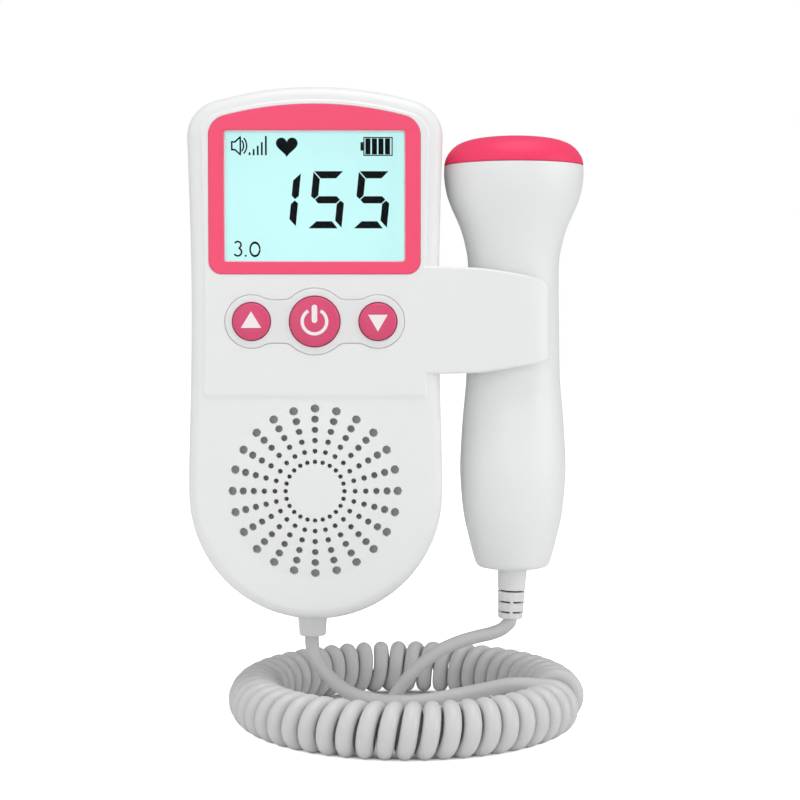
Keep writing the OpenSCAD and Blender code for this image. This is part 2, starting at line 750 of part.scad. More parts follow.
// A tube along a route, with its ends square to the route's first and last steps.
module tube(route, r, sides) {
    last = len(route) - 1;
    ahead = [for (i = [0:last]) i == 0 ? unit(route[1] - route[0])
        : i == last ? unit(route[last] - route[last - 1])
        : unit(unit(route[i + 1] - route[i]) + unit(route[i] - route[i - 1]))];
    frames = [for (i = 0, n = unit(cross(ahead[0], [0.31, 0.92, 0.24])); i <= last;
        i = i + 1, n = i > last ? n : unit(n - (n * ahead[i]) * ahead[i])) n];
    points = [for (i = [0:last], k = [0:sides - 1]) let (a = 360 * k / sides)
        route[i] + r * (cos(a) * frames[i] + sin(a) * cross(ahead[i], frames[i]))];
    walls = [for (i = [0:last - 1], k = [0:sides - 1]) let (a = i * sides + k,
        b = i * sides + (k + 1) % sides) each [[a, a + sides, b], [b, a + sides, b + sides]]];
    polyhedron(points, concat(walls, [[for (k = [0:sides - 1]) k]],
        [[for (k = [sides - 1:-1:0]) last * sides + k]]));
}

first_way = unit(curl_point(1) - curl_point(-1));
last_way = unit(curl_point(last_turn + 1) - curl_point(last_turn - 1));
curl_start = curl_middle[0] - cord_d * first_way;
curl_end = curl_middle[len(curl_middle) - 1] + cord_d * last_way;

// Routes chosen by hand: unit to curls, and curls to probe.
body_route = concat([[gland_x, -17, -gland_drop - foot_drop - mount_h], [gland_x, -17, -107.6], [-1, -17.3, -110.4],
    [0.8, -18.5, -113.6], [4.2, -20.4, -116.6], [8.6, -22.2, -119], [14, -23.4, -120.3],
    [20, -24, -120.8], [26, -23.6, -120.2], [32, -23, -119.2], [38, -22.8, -118.2],
    [43.4, -23.8, -117.1], [48, -25.4, -116]], [curl_start - 3.5 * first_way, curl_start]);

relief_end = [probe_x - (relief_len + relief_gap) * sin(relief_lean), -probe_d,
    probe_low - mount_h - (relief_len + relief_gap) * cos(relief_lean)];
relief_way = [-sin(relief_lean), 0, -cos(relief_lean)];
floor_line = floor_z + cord_r;
probe_route = concat([curl_end, curl_end + 3.5 * last_way],
    [[46, -17, floor_line], [40, -19.6, floor_line], [34, -24, floor_line], [28.5, -28.8, floor_line],
    [22.5, -31.2, floor_line], [17.4, -30.2, floor_line], [14.6, -26, floor_line],
    [15.6, -21.4, -125.4], [18, -18.6, -122.8], [20.6, -18, -118.8], [23.6, -18, -115],
    [27.2, -18, -111.6], [31.2, -18, -108.7], [36, -18, -106.5], [40.4, -18, -105.2],
    [44.2, -18, -104.3], [46.8, -18, -103.3], [48.3, -18, -102.1]],
    [relief_end + 0.9 * relief_way, relief_end]);

module cord_body_tail() {
    color("silver") tube(body_route, cord_r, 8);
}

module cord_curls() {
    color("silver") tube(concat([curl_start], curl_middle, [curl_end]), cord_r, 6);
}

module cord_probe_tail() {
    color("silver") tube(probe_route, cord_r, 8);
}

// ---------------------------------------------------------------- probe

// A point on a smooth curve through four outline points.
function between(a, b, c, d, t) =
    0.5 * ((2 * b) + (c - a) * t + (2 * a - 5 * b + 4 * c - d) * t * t
        + (3 * b - a - 3 * c + d) * t * t * t);

// The probe's radius along its height, smooth through its outline.
function smooth_outline(steps) = let (n = len(probe_outline) - 1)
    concat([for (i = [2:n - 2], s = [0:steps - 1])
        between(probe_outline[max(i - 1, 0)], probe_outline[i], probe_outline[i + 1],
            probe_outline[min(i + 2, n)], s / steps)], [probe_outline[n - 1], probe_outline[n]]);

outline_steps = 2;
probe_curve = concat([probe_outline[0], probe_outline[1]], smooth_outline(outline_steps));
bottom_t = 2.4;

// Both halves of the probe's handle in one: a turned wall, open at the head.
module handle() {
    inner = [for (p = probe_curve) if (p[0] > bottom_t + 0.6) [p[1] - probe_wall, p[0]]];
    difference() {
        rotate_extrude() polygon(concat([[0, 0]], [for (p = probe_curve) [p[1], p[0]]], [[0, cap_low]]));
        rotate_extrude() polygon(concat([[0, bottom_t], [inner[0][0] - 1, bottom_t]], inner,
            [[inner[len(inner) - 1][0], cap_low + 1], [0, cap_low + 1]]));
        translate([0, 0, -1]) cylinder(r = relief_r0 - 0.25, h = bottom_t + 2);
    }
}

// One half of the handle, on the side that the sign gives.
module handle_half(side_sign) {
    color("white") at_probe() intersection() {
        handle();
        translate([-deep, side_sign > 0 ? 0 : -deep, -1]) cube([2 * deep, deep, cap_low + 2]);
    }
}

module probe_shell_front() { handle_half(-1); }
module probe_shell_rear() { handle_half(1); }

module probe_cap() {
    color("deeppink") at_probe() rotate_extrude() polygon([
        [0, cap_high + cap_rise], [head_r * 0.45, cap_high + cap_rise * 0.8],
        [head_r - 4, cap_high + cap_rise * 0.35], [head_r - 1.4, cap_high - 0.1],
        [head_r - 0.4, cap_high - 0.6], [head_r, cap_high - 1.6], [head_r, cap_low],
        [spigot_r, cap_low], [spigot_r, cap_low - spigot_len],
        [spigot_r - spigot_t, cap_low - spigot_len], [spigot_r - spigot_t, cap_high - cap_t],
        [0, cap_high - cap_t]]);
}

// One of the two half-round elements, to the left or the right of the split.
module element(side_sign) {
    color("goldenrod") at_probe() intersection() {
        translate([0, 0, cap_high - cap_t - element_t]) cylinder(r = element_r, h = element_t);
        translate([side_sign > 0 ? element_gap / 2 : -deep - element_gap / 2, -deep, 0])
            cube([deep, 2 * deep, 3 * deep]);
    }
}

module transducer_left() { element(-1); }
module transducer_right() { element(1); }

module acoustic_backing() {
    color("saddlebrown") at_probe()
        translate([0, 0, cap_high - cap_t - element_t - backing_t])
        cylinder(r = spigot_r - spigot_t - seat, h = backing_t);
}

module probe_board() {
    color("seagreen") at_probe() translate([-probe_board_half, -0.8, 30])
        cube([2 * probe_board_half, 1.6, 48]);
}

// The bend relief: a flange inside the handle, a neck, and a ribbed tail with slots.
module probe_strain_relief() {
    slot_z = [5.6, 8.4, 11];
    color("gainsboro") at_probe() {
        translate([0, 0, -0.2]) cylinder(r = relief_r0 - 0.35, h = bottom_t + 0.4);
        translate([0, 0, bottom_t + 0.1]) cylinder(r = relief_r0 + 1, h = 1.5);
        rotate([0, relief_lean, 0]) difference() {
            translate([0, 0, -relief_len - relief_gap])
                cylinder(r1 = relief_r1, r2 = relief_r0, h = relief_len);
            for (z = slot_z) translate([0, 0, -z - 0.7]) difference() {
                cylinder(r = 6, h = 0.5);
                translate([0, 0, -1]) cylinder(r = relief_r1 - 0.7, h = 3);
                if (z > slot_z[0]) translate([-0.9, -6, -1]) cube([1.8, 12, 3]);
            }
        }
    }
}

front_shell();
rear_shell();
display_bezel();
display_window();
lcd_glass();
lcd_backlight();
main_board();
board_screws();
button_surround();
button_up();
button_power();
button_down();
plunger_up();
plunger_power();
plunger_down();
key_switches();
grille_cloth();
speaker_frame();
speaker_cone();
speaker_magnet();
battery_door();
aa_cell_left();
aa_cell_right();
battery_contacts();
battery_springs();
shell_screws();
cord_gland();
cord_body_tail();
cord_curls();
cord_probe_tail();
probe_shell_front();
probe_shell_rear();
probe_cap();
transducer_left();
transducer_right();
acoustic_backing();
probe_board();
probe_strain_relief();
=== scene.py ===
# %% [markdown]
# # Dressing a pocket fetal doppler
#
# The object is a white plastic unit with a lit display, three keys, a perforated
# speaker dome and a clip at its side. The clip holds a probe with a pink cap, and a
# grey curly cord joins the two. An exact CAD model gives every place and size. This
# lesson loads that model as a fixed frame and builds its looks on it, piece by piece.
#
# The frame is metric and the front faces -Y, so all numbers below are metres, or
# millimetres times `MM`.

# %% Load the frame
import json
import math

import bpy
import bmesh
import numpy as np
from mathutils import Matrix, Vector
from mathutils.geometry import tessellate_polygon


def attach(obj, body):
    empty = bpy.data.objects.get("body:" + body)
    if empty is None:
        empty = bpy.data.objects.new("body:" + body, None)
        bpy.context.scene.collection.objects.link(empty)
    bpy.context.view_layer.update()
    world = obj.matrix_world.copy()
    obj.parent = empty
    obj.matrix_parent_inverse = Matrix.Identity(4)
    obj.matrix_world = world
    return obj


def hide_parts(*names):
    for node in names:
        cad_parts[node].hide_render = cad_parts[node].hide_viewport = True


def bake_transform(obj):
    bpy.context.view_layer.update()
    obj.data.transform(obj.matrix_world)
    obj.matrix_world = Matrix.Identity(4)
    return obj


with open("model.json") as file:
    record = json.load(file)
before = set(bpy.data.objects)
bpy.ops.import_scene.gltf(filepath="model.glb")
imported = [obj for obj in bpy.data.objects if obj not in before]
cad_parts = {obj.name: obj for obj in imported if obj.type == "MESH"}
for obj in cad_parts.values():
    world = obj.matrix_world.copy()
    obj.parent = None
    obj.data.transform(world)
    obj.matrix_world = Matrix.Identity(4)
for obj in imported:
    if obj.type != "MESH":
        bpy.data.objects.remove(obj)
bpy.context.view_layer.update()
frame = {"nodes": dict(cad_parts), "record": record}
MM = 0.001

# %% [markdown]
# ## The camera
#
# The camera and the cord come first, because the cord's spread is judged by what the
# camera sees. The ring that the cord lies in is round on the real object, so the
# ellipse that it draws tells how high the camera stood and how far away. A lens of
# 78.75 mm on a 36 mm sensor gives 1750 pixels per unit of depth in an 800 pixel frame.

# %% Place the camera
lens = bpy.data.cameras.new("studio_camera")
lens.lens = 78.75
lens.sensor_width = 36
lens.clip_start = 0.01
camera = bpy.data.objects.new("studio_camera", lens)
bpy.context.scene.collection.objects.link(camera)
camera.location = (0.0209, -0.4636, -0.0240)
camera.rotation_euler = (math.radians(90 - 2.62), 0, 0)
bpy.context.scene.camera = camera
print("camera stands", round(-camera.location.y, 3), "m in front of the unit's back")

# %% [markdown]
# ## Meshes from whole arrays
#
# Most pieces below are surfaces worked out on a grid of two parameters: round a
# section and along a path. Numpy gives all points at once, so no loop visits a vertex.
# The helper `grid_faces` names the four corners of each cell, `lathe` turns a profile,
# and `make_piece` puts points and faces into a mesh, whose object stays at the origin.

# %% Grid, lathe and mesh helpers
def grid_faces(rows, cols, round_rows=False, round_cols=False):
    """Corners of each cell between neighbouring lines; a round direction joins last to first."""
    i = np.arange(rows if round_rows else rows - 1)
    j = np.arange(cols if round_cols else cols - 1)
    a, b = np.meshgrid(i, j, indexing="ij")
    c, d = (a + 1) % rows, (b + 1) % cols
    return np.stack([a * cols + b, a * cols + d, c * cols + d, c * cols + b], -1).reshape(-1, 4)


def lathe(profile, steps=64):
    """A profile of (radius, height) turned about the z axis: points and faces."""
    r, z = np.asarray(profile, float).T
    turn = np.arange(steps) * 2 * np.pi / steps
    points = np.stack([r[:, None] * np.cos(turn), r[:, None] * np.sin(turn), z[:, None] + 0 * turn], -1)
    return points.reshape(-1, 3), grid_faces(len(r), steps, round_cols=True).tolist()


def make_piece(name, points, faces, material, body="main_unit", smooth=True):
    """A mesh object at the origin from points (n, 3) and a list of faces."""
    mesh = bpy.data.meshes.new(name)
    mesh.from_pydata(np.asarray(points).tolist(), [], [list(map(int, f)) for f in faces])
    mesh.validate()
    return adopt(name, mesh, material, body, smooth)


def adopt(name, mesh, material, body="main_unit", smooth=True):
    """Makes a mesh a shown piece: its faces face out, and it rides on a body."""
    work = bmesh.new()
    work.from_mesh(mesh)
    bmesh.ops.remove_doubles(work, verts=work.verts, dist=1e-7)
    bmesh.ops.recalc_face_normals(work, faces=work.faces)
    work.to_mesh(mesh)
    work.free()
    mesh.shade_smooth() if smooth else mesh.shade_flat()
    mesh.materials.append(material)
    piece = bpy.data.objects.new(name, mesh)
    bpy.context.scene.collection.objects.link(piece)
    if body:
        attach(piece, body)
    return piece


def crease(piece, degrees=35):
    """Keeps edges sharper than the angle crisp, and shades the rest smooth."""
    piece.data.set_sharp_from_angle(angle=math.radians(degrees))


def catmull(points, per=8):
    """A smooth curve through points: each span is the cubic of its four nearest points."""
    p = np.asarray(points, float)
    p = np.vstack([2 * p[0] - p[1], p, 2 * p[-1] - p[-2]])
    t = (np.arange(per) / per)[None, :, None]
    a, b, c, d = (p[i:len(p) - 3 + i][:, None, :] for i in range(4))
    spans = 0.5 * (2 * b + (c - a) * t + (2 * a - 5 * b + 4 * c - d) * t ** 2
                   + (3 * b - a - 3 * c + d) * t ** 3)
    return np.vstack([spans.reshape(-1, p.shape[1]), p[-2]])


def unit(v):
    """Vectors scaled to length one, along the last axis."""
    return v / np.linalg.norm(v, axis=-1, keepdims=True)


def tube(path, aim, radius, sides=16):
    """Rings round a path: each ring's first spoke is the aim, made square to the path."""
    way = unit(np.gradient(path, axis=0))
    spoke = unit(aim - (aim * way).sum(1, keepdims=True) * way)
    other = np.cross(way, spoke)
    turn = np.arange(sides) * 2 * np.pi / sides
    r = np.broadcast_to(np.asarray(radius, float), (len(path),))[:, None, None]
    rings = path[:, None, :] + r * (np.cos(turn)[None, :, None] * spoke[:, None, :]
                                    + np.sin(turn)[None, :, None] * other[:, None, :])
    faces = grid_faces(len(path), sides, round_cols=True).tolist()
    last = (len(path) - 1) * sides
    return rings.reshape(-1, 3), faces + [list(range(sides)), list(range(last, last + sides))]


print("helpers ready")

# %% [markdown]
# ## Shader maths as plain expressions
#
# A finish is a network of nodes. Written node by node it hides its own idea, so one
# small class stands for a number that varies over the surface, and `+ * >` on it add
# the Math nodes. Every other node comes from one method, which takes the node's type,
# then its settings, then the values or links of its sockets.

# %% The material language
class Signal:
    """A varying number or colour: the output socket of a node."""

    def __init__(self, finish, socket):
        self.finish, self.socket = finish, socket

    def _math(self, operation, *values):
        return self.finish.node("Math", {"operation": operation}, *values)

    def __add__(self, other): return self._math("ADD", self, other)
    def __mul__(self, other): return self._math("MULTIPLY", self, other)
    def __gt__(self, other): return self._math("GREATER_THAN", self, other)


class Finish:
    """A material under construction, or the world's air."""

    def __init__(self, name, world=None):
        self.material = world or bpy.data.materials.new(name)
        self.material.use_nodes = True
        self.tree = self.material.node_tree
        self.tree.nodes.clear()

    def node(self, kind, settings=None, *values, out=0, **named):
        """Adds a node: its settings first, then its sockets in order or by name."""
        made = self.tree.nodes.new("ShaderNode" + kind)
        for key, value in (settings or {}).items():
            setattr(made, key, value)
        sockets = list(zip(made.inputs, values))
        sockets += [(made.inputs[key.replace("_", " ")], value) for key, value in named.items()]
        for socket, value in sockets:
            if isinstance(value, Signal):
                self.tree.links.new(value.socket, socket)
            elif value is not None:
                socket.default_value = value
        return Signal(self, made.outputs[out]) if made.outputs else None

    def place(self, scale=1.0, squeeze=(1, 1, 1)):
        """The object's own coordinates in metres, scaled."""
        here = self.node("TexCoord", {}, out="Object")
        return self.node("Mapping", {}, here, Scale=[scale * s for s in squeeze])

    def noise(self, size, detail=3.0, squeeze=(1, 1, 1)):
        """Clouds whose features are about as big as the size, in metres."""
        return self.node("TexNoise", {}, Vector=self.place(1 / size, squeeze), Scale=1.0, Detail=detail)

    def blend(self, share, low, high):
        """A colour between two colours."""
        return self.node("Mix", {"data_type": "RGBA"}, share, None, None, None, None, None,
                         low, high, out=2)

    def bump(self, height, strength, depth):
        """Normals tilted by a height signal."""
        return self.node("Bump", {}, Strength=strength, Distance=depth, Height=height)

    def finish(self, **named):
        """Closes the network with a Principled shader and gives the material."""
        shader = self.node("BsdfPrincipled", {}, **named)
        self.node("OutputMaterial", {}, shader)
        return self.material


def srgb(r, g, b):
    """A screen colour, 0 to 255, as the linear colour that a shader takes."""
    c = np.array([r, g, b]) / 255
    low, high = c / 12.92, ((c + 0.055) / 1.055) ** 2.4
    return (*np.where(c <= 0.04045, low, high).tolist(), 1.0)


print("material language ready; mid grey is", round(srgb(128, 128, 128)[0], 3), "in linear light")

# %% [markdown]
# ## Plastics, metals and the cord's jacket
#
# Moulded plastic is never one flat colour. Its pigment drifts a little, its gloss is
# uneven where hands have been, and the mould leaves a grain of a few tenths of a
# millimetre. `moulded` mixes these three, and the coloured parts only change its
# numbers. Metal and board finishes follow the same pattern with their own details.

# %% Plastics
def moulded(name, colour, gloss, grain=0.02, drift=0.96, shine=0.5):
    """Coloured plastic: pigment drift, uneven gloss and a fine mould grain."""
    f = Finish(name)
    cloud = f.noise(14 * MM, 4)
    darker = tuple(c * drift for c in colour[:3]) + (1.0,)
    skin = f.noise(0.35 * MM, 2)
    rubbed = f.noise(5 * MM, 5)
    return f.finish(Base_Color=f.blend(cloud, colour, darker),
                    Roughness=rubbed * 0.12 + (gloss - 0.06), Specular_IOR_Level=shine,
                    Normal=f.bump(skin, grain, 0.05 * MM))


white_shell = moulded("white_shell", srgb(238, 239, 239), 0.42, drift=0.985)
surround_white = moulded("surround_white", srgb(233, 234, 235), 0.38, drift=0.985)
bezel_pink = moulded("bezel_pink", srgb(253, 84, 122), 0.48, shine=0.3)
key_pink = moulded("key_pink", srgb(222, 72, 116), 0.42)
cap_pink = moulded("cap_pink", srgb(247, 60, 106), 0.5, shine=0.3)
switch_black = moulded("switch_black", srgb(34, 34, 36), 0.5)
cloth_grey = moulded("cloth_grey", srgb(188, 188, 190), 0.9, grain=0.4)
cone_black = moulded("cone_black", srgb(30, 30, 31), 0.8, grain=0.3)
backing_rubber = moulded("backing_rubber", srgb(120, 84, 60), 0.7)
mark_white = moulded("mark_white", srgb(250, 240, 244), 0.5)
segment_black = moulded("segment_black", srgb(14, 18, 22), 0.7, shine=0.05)
cord_grey = moulded("cord_grey", srgb(211, 211, 211), 0.36)
bush_grey = moulded("bush_grey", srgb(232, 232, 232), 0.4, drift=0.98)
print("plastics from", white_shell.name, "to", bush_grey.name)

# %% [markdown]
# ## The cord's route
#
# The cord leaves the unit's foot through a bush, dips to the coil, and becomes 49 curls
# that lie side by side in a ring on the table. The last curl lets go at the right, and
# the tail runs along the table inside the ring and rises to the bend relief under the
# probe. The curls are a screw line wound round a circle: one formula with two angles,
# `turn` within a curl and `around` along the ring. Lengths here are in millimetres.

# %% Curls and tails as lines in space
FULL_R, SLIM_R = 1.8, 1.7   # the strand's radius at the unit and at the probe
FADE = 16                   # the run in which the strand's radius changes
PROBE_X, PROBE_Y, PROBE_LOW = 49.7, -18.0, -87.1
CURLS, RING_R, CURL_R, STRAND_R = 49, 38.6, 4.85, 2.15
FLOOR_Z = -127.5
RING_MID = np.array([22.6, -17.5, FLOOR_Z + STRAND_R + CURL_R])


def curl_line(turn):
    """Point on the ring, plus the curl's radius at 90 - turn degrees across it; closer in front."""
    turn = np.asarray(turn, float)
    share = turn / (360 * CURLS)
    around = np.radians(20 + 338 * (share + 0.0045 * (np.cos(2 * np.pi * share) - 1)))
    tilt = np.radians(90 - turn)
    out = np.stack([np.cos(around), -np.sin(around), 0 * around], -1)
    up = np.array([0, 0, 1.0])
    spoke = np.cos(tilt)[..., None] * out + np.sin(tilt)[..., None] * up
    return RING_MID + RING_R * out + CURL_R * spoke, spoke


last_turn = 360 * CURLS + 180
curl_points, curl_spokes = curl_line(np.linspace(0, last_turn, 1 + 28 * CURLS + 14))
first_way = unit(curl_line(1)[0] - curl_line(-1)[0])
last_way = unit(curl_line(last_turn + 1)[0] - curl_line(last_turn - 1)[0])
curl_start = curl_points[0] - 3.5 * first_way
curl_end = curl_points[-1] + 3.5 * last_way

body_tail = catmull([
    [-1.7, -17, -104.6], [-1.7, -17, -107], [-1.2, -17.3, -109.8], [0.9, -18.5, -113.2],
    [4.2, -20.4, -116.4], [8.6, -22.2, -119], [14, -23.4, -120.3], [20, -24, -120.8],
    [26, -23.6, -120.6], [32, -23, -119.8], [38, -22.8, -118.7], [43.4, -23.8, -117.4],
    [48, -25.4, -116.1], curl_start - 3.5 * first_way, curl_start, curl_points[0]])
lean = math.radians(2.5)
RELIEF_TIP = 13.2
relief_way = np.array([-math.sin(lean), 0, -math.cos(lean)])
relief_end = np.array([PROBE_X, PROBE_Y, PROBE_LOW]) + RELIEF_TIP * relief_way
lying = FLOOR_Z + 1.75
parting_point = [14.6, -26, lying]   # here the tail begins to rise
probe_tail = catmull([
    curl_end, curl_end + 3.5 * last_way, [46, -17, lying], [40, -19.6, lying],
    [34, -24, lying], [28.5, -28.8, lying], [22.5, -31.2, lying], [17.4, -30.2, lying], parting_point,
    [15.6, -21.4, -125.4], [18, -18.6, -122.8], [20.6, -18, -118.8], [23.6, -18, -115],
    [27.2, -18, -111.6], [31.2, -18, -108.7], [36, -18, -106.5], [40.4, -18, -105.2],
    [44.2, -18, -104.3], [46.8, -18, -103.3], [48.3, -18, -102.1],
    relief_end + 0.9 * relief_way, relief_end])


def length_along(path):
    """Distance of each point from the path's start."""
    return np.concatenate([[0], np.cumsum(np.linalg.norm(np.diff(path, axis=0), axis=1))])


def length(path):
    """Sum of the steps along a path."""
    return float(length_along(path)[-1])


parting = int(np.argmin(np.linalg.norm(probe_tail - parting_point, axis=1)))
low_tail, high_tail = probe_tail[:parting + 1], probe_tail[parting:]
print("tails", round(length(body_tail), 1), "and", round(length(probe_tail), 1), "mm, curls",
      round(length(curl_points), 1), "mm")

# %% [markdown]
# The unit's tail, the curls and the stretch that lies on the table are one tube. A
# curled jacket is squeezed on the inner side of the ring and fuller on the outer side,
# so the radius follows the distance from the ring's middle. The tube's rings need a
# steady direction for their first spoke, or the tube would twist: along the curls that
# is the way out from the curl's middle, and along the tail it turns slowly from
# forwards to upwards.

# %% The curly cord in one tube
way_up = np.linspace(0, 1, len(body_tail) - 1)[:, None] ** 0.5
tail_spokes = (1 - way_up) * np.array([0, -1.0, 0]) + way_up * np.array([0, 0, 1.0])
cord_path = np.vstack([[body_tail[0] + [0, 0, 2.5]], body_tail[:-1], curl_points, low_tail])
cord_aim = np.vstack([[tail_spokes[0]], tail_spokes, curl_spokes,
                      np.tile(curl_spokes[-1], (len(low_tail), 1))])
run = length_along(cord_path)
swell = np.clip((run - 60) / FADE, 0, 1)
reach = np.linalg.norm((cord_path - RING_MID)[:, :2], axis=1)
full = np.clip(0.5 + 0.5 * (reach - RING_R) / CURL_R, 0, 1) ** 0.5
cord_radius = FULL_R + swell * (0.1 + (STRAND_R - FULL_R - 0.1) * full)
past = run - run[-len(low_tail) - 1]
cord_radius = (SLIM_R + (cord_radius - SLIM_R) * np.clip(1 - past / FADE, 0, 1) ** 2) * MM
points, faces = tube(cord_path * MM, cord_aim, cord_radius, 18)
curly_cord = make_piece("curly_cord", points, faces, cord_grey)
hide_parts("cord_body_tail", "cord_curls")

# %% [markdown]
# The probe's tail rises from the stretch on the table to the bend relief under the
# probe. It is one tube made in place, whose spokes turn from upwards to forwards, and
# it rides on no body.

# %% The probe's tail
tail_path = np.vstack([high_tail, [relief_end - 2.5 * relief_way]])
share = np.linspace(0, 1, len(tail_path))[:, None]
tail_aim = (1 - share) * np.array([0, 0, 1.0]) + share * np.array([0, -1.0, 0.35])
points, faces = tube(tail_path * MM, tail_aim, SLIM_R * MM, 18)
probe_cord = make_piece("probe_cord", points, faces, cord_grey, body=None)
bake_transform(probe_cord)
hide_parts("cord_probe_tail")

# %% [markdown]
# ## Outlines with their normals
#
# The case, the bezel and the key plate are all flat outlines with rounded edges. A loop
# here is a pair of arrays: points, and the way out at each point. With both, any inset
# is one line, and an edge rounding is a row of insets. Loops are chains of arcs, and the
# straight runs between them come by themselves.

# %% Loops made of arcs
def chain(*arcs):
    """A closed loop from arcs (x, y, radius, from, to, steps), in degrees, run in order."""
    points, normals = [], []
    for x, y, r, start, end, steps in arcs:
        turn = np.radians(np.linspace(start, end, steps + 1))
        way = np.stack([np.cos(turn), np.sin(turn)], -1)
        points.append(np.array([x, y]) + r * way)
        normals.append(way)
    return np.vstack(points), np.vstack(normals)


def circle(x, y, r, steps=48):
    """A round loop, without a doubled last point."""
    points, normals = chain((x, y, r, 0, 360, steps))
    return points[:-1], normals[:-1]


def rounded_box(low, high, r, steps=6):
    """A rectangle between two corners, whose own corners are arcs."""
    (x0, y0), (x1, y1) = np.add(low, r), np.subtract(high, r)
    return chain((x1, y0, r, -90, 0, steps), (x1, y1, r, 0, 90, steps),
                 (x0, y1, r, 90, 180, steps), (x0, y0, r, 180, 270, steps))


def inset(loop, by):
    """The loop moved against its normals."""
    return loop[0] - by * loop[1]


HALF_W, BODY_H = 31.4, 130.6
FOOT_Y, ROUND_Y, CORNER_R = 31.4, 30.65, 9.0
CROWN_R = CORNER_R + (HALF_W - CORNER_R) / 0.28
CROWN_Y = BODY_H - CROWN_R
CORNER_Y = CROWN_Y + (HALF_W - CORNER_R) * 0.96 / 0.28
LEAN = math.degrees(math.atan2(0.96, 0.28))


def flank(low, high, steps=36):
    """The right side: straight but for a waist, whose depth is 0.9 (1 - u u) to the power 1.5."""
    y = np.linspace(low, high, steps + 2)[1:-1]
    u = np.clip((y - 78) / 43, -1, 1)
    x = HALF_W - 0.9 * (1 - u * u) ** 1.5
    slope = 0.9 * 3 * u * (1 - u * u) ** 0.5 / 43
    return np.stack([x, y], -1), unit(np.stack([np.ones_like(y), -slope], -1))


def body_outline():
    """Round foot, flank, corner, crown, corner, flank: the case seen from the front."""
    foot = chain((0, ROUND_Y, HALF_W, 180, 360, 72))
    right = flank(ROUND_Y, CORNER_Y)
    top = chain((HALF_W - CORNER_R, CORNER_Y, CORNER_R, 0, LEAN, 12),
                (0, CROWN_Y, CROWN_R, LEAN + 1, 179 - LEAN, 24),
                (CORNER_R - HALF_W, CORNER_Y, CORNER_R, 180 - LEAN, 180, 12))
    left = [side[::-1] * np.array([-1, 1]) for side in right]
    return tuple(np.vstack([foot[i], right[i], top[i], left[i]]) for i in range(2))


body_loop = body_outline()
print("case outline:", len(body_loop[0]), "points,", np.round(np.ptp(body_loop[0], axis=0), 2), "mm")

# %% [markdown]
# The bezel's outline has round lower corners, small shoulders and a crowned top. The
# key plate is three round lobes with a neck between them. On the real plate the lobes
# flow into the necks, so the sharp union is resampled evenly and smoothed along itself
# with a bell-shaped window.

# %% Bezel and key plate outlines
BEZEL_TOP, BEZEL_R, SHOULDER_R = 126.1, 88.0, 5.0
bezel_mid = BEZEL_TOP - BEZEL_R
shoulder_x = 25.9 - SHOULDER_R
bezel_lean = math.degrees(math.asin(shoulder_x / (BEZEL_R - SHOULDER_R)))
shoulder_y = bezel_mid + (BEZEL_R - SHOULDER_R) * math.cos(math.radians(bezel_lean))
bezel_loop = chain((-22.7, 87.9, 3.2, 180, 270, 10), (22.7, 87.9, 3.2, 270, 360, 10),
                   (shoulder_x, shoulder_y, SHOULDER_R, 0, 89 - bezel_lean, 12),
                   (0, bezel_mid, BEZEL_R, 90 - bezel_lean, 90 + bezel_lean, 28),
                   (-shoulder_x, shoulder_y, SHOULDER_R, 91 + bezel_lean, 180, 12))
bezel_loop = (bezel_loop[0][:-1], bezel_loop[1][:-1])


def smooth_loop(points, step=0.3, spread=0.8):
    """Even steps round the loop, averaged along it with a bell of the given spread."""
    closed = np.vstack([points, points[:1]])
    run = length_along(closed)
    even = np.linspace(0, run[-1], int(run[-1] / step), endpoint=False)
    loop = np.stack([np.interp(even, run, closed[:, i]) for i in range(2)], -1)
    reach = int(3 * spread / step)
    bell = np.exp(-0.5 * (np.arange(-reach, reach + 1) * step / spread) ** 2)
    wrapped = np.vstack([loop[-reach:], loop, loop[:reach]])
    loop = np.stack([np.convolve(wrapped[:, i], bell / bell.sum(), "valid") for i in range(2)], -1)
    way = unit(np.roll(loop, -1, 0) - np.roll(loop, 1, 0))
    return loop, np.stack([way[:, 1], -way[:, 0]], -1)


KEY_H, KEY_PITCH = 73.1, 15.5
lobes = chain((KEY_PITCH, 0, 6.55, -127, 127, 40), (0, 0, 8.2, 40, 140, 30),
              (-KEY_PITCH, 0, 6.55, 53, 307, 40), (0, 0, 8.2, 220, 320, 30))[0]
surround_loop = smooth_loop(lobes + [0, KEY_H])
print("key plate:", np.round(np.ptp(surround_loop[0], axis=0), 2), "mm")

# %% [markdown]
# ## Mouldings as skins
#
# A moulded case is a closed skin: walls that follow a loop through a list of insets and
# depths, and flats between one loop and the holes in it. The class below keeps one list
# of points, so that a wall and the flat beside it share their rim and the skin closes.

# %% The skin builder
MOUNT_H = 97.5   # the frame's origin, above the unit's foot


def stand(points):
    """From the unit's own x, height and depth in millimetres to metres in the frame."""
    x, y, z = np.moveaxis(np.asarray(points, float), -1, 0)
    return np.stack([x, -z, y - MOUNT_H], -1) * MM


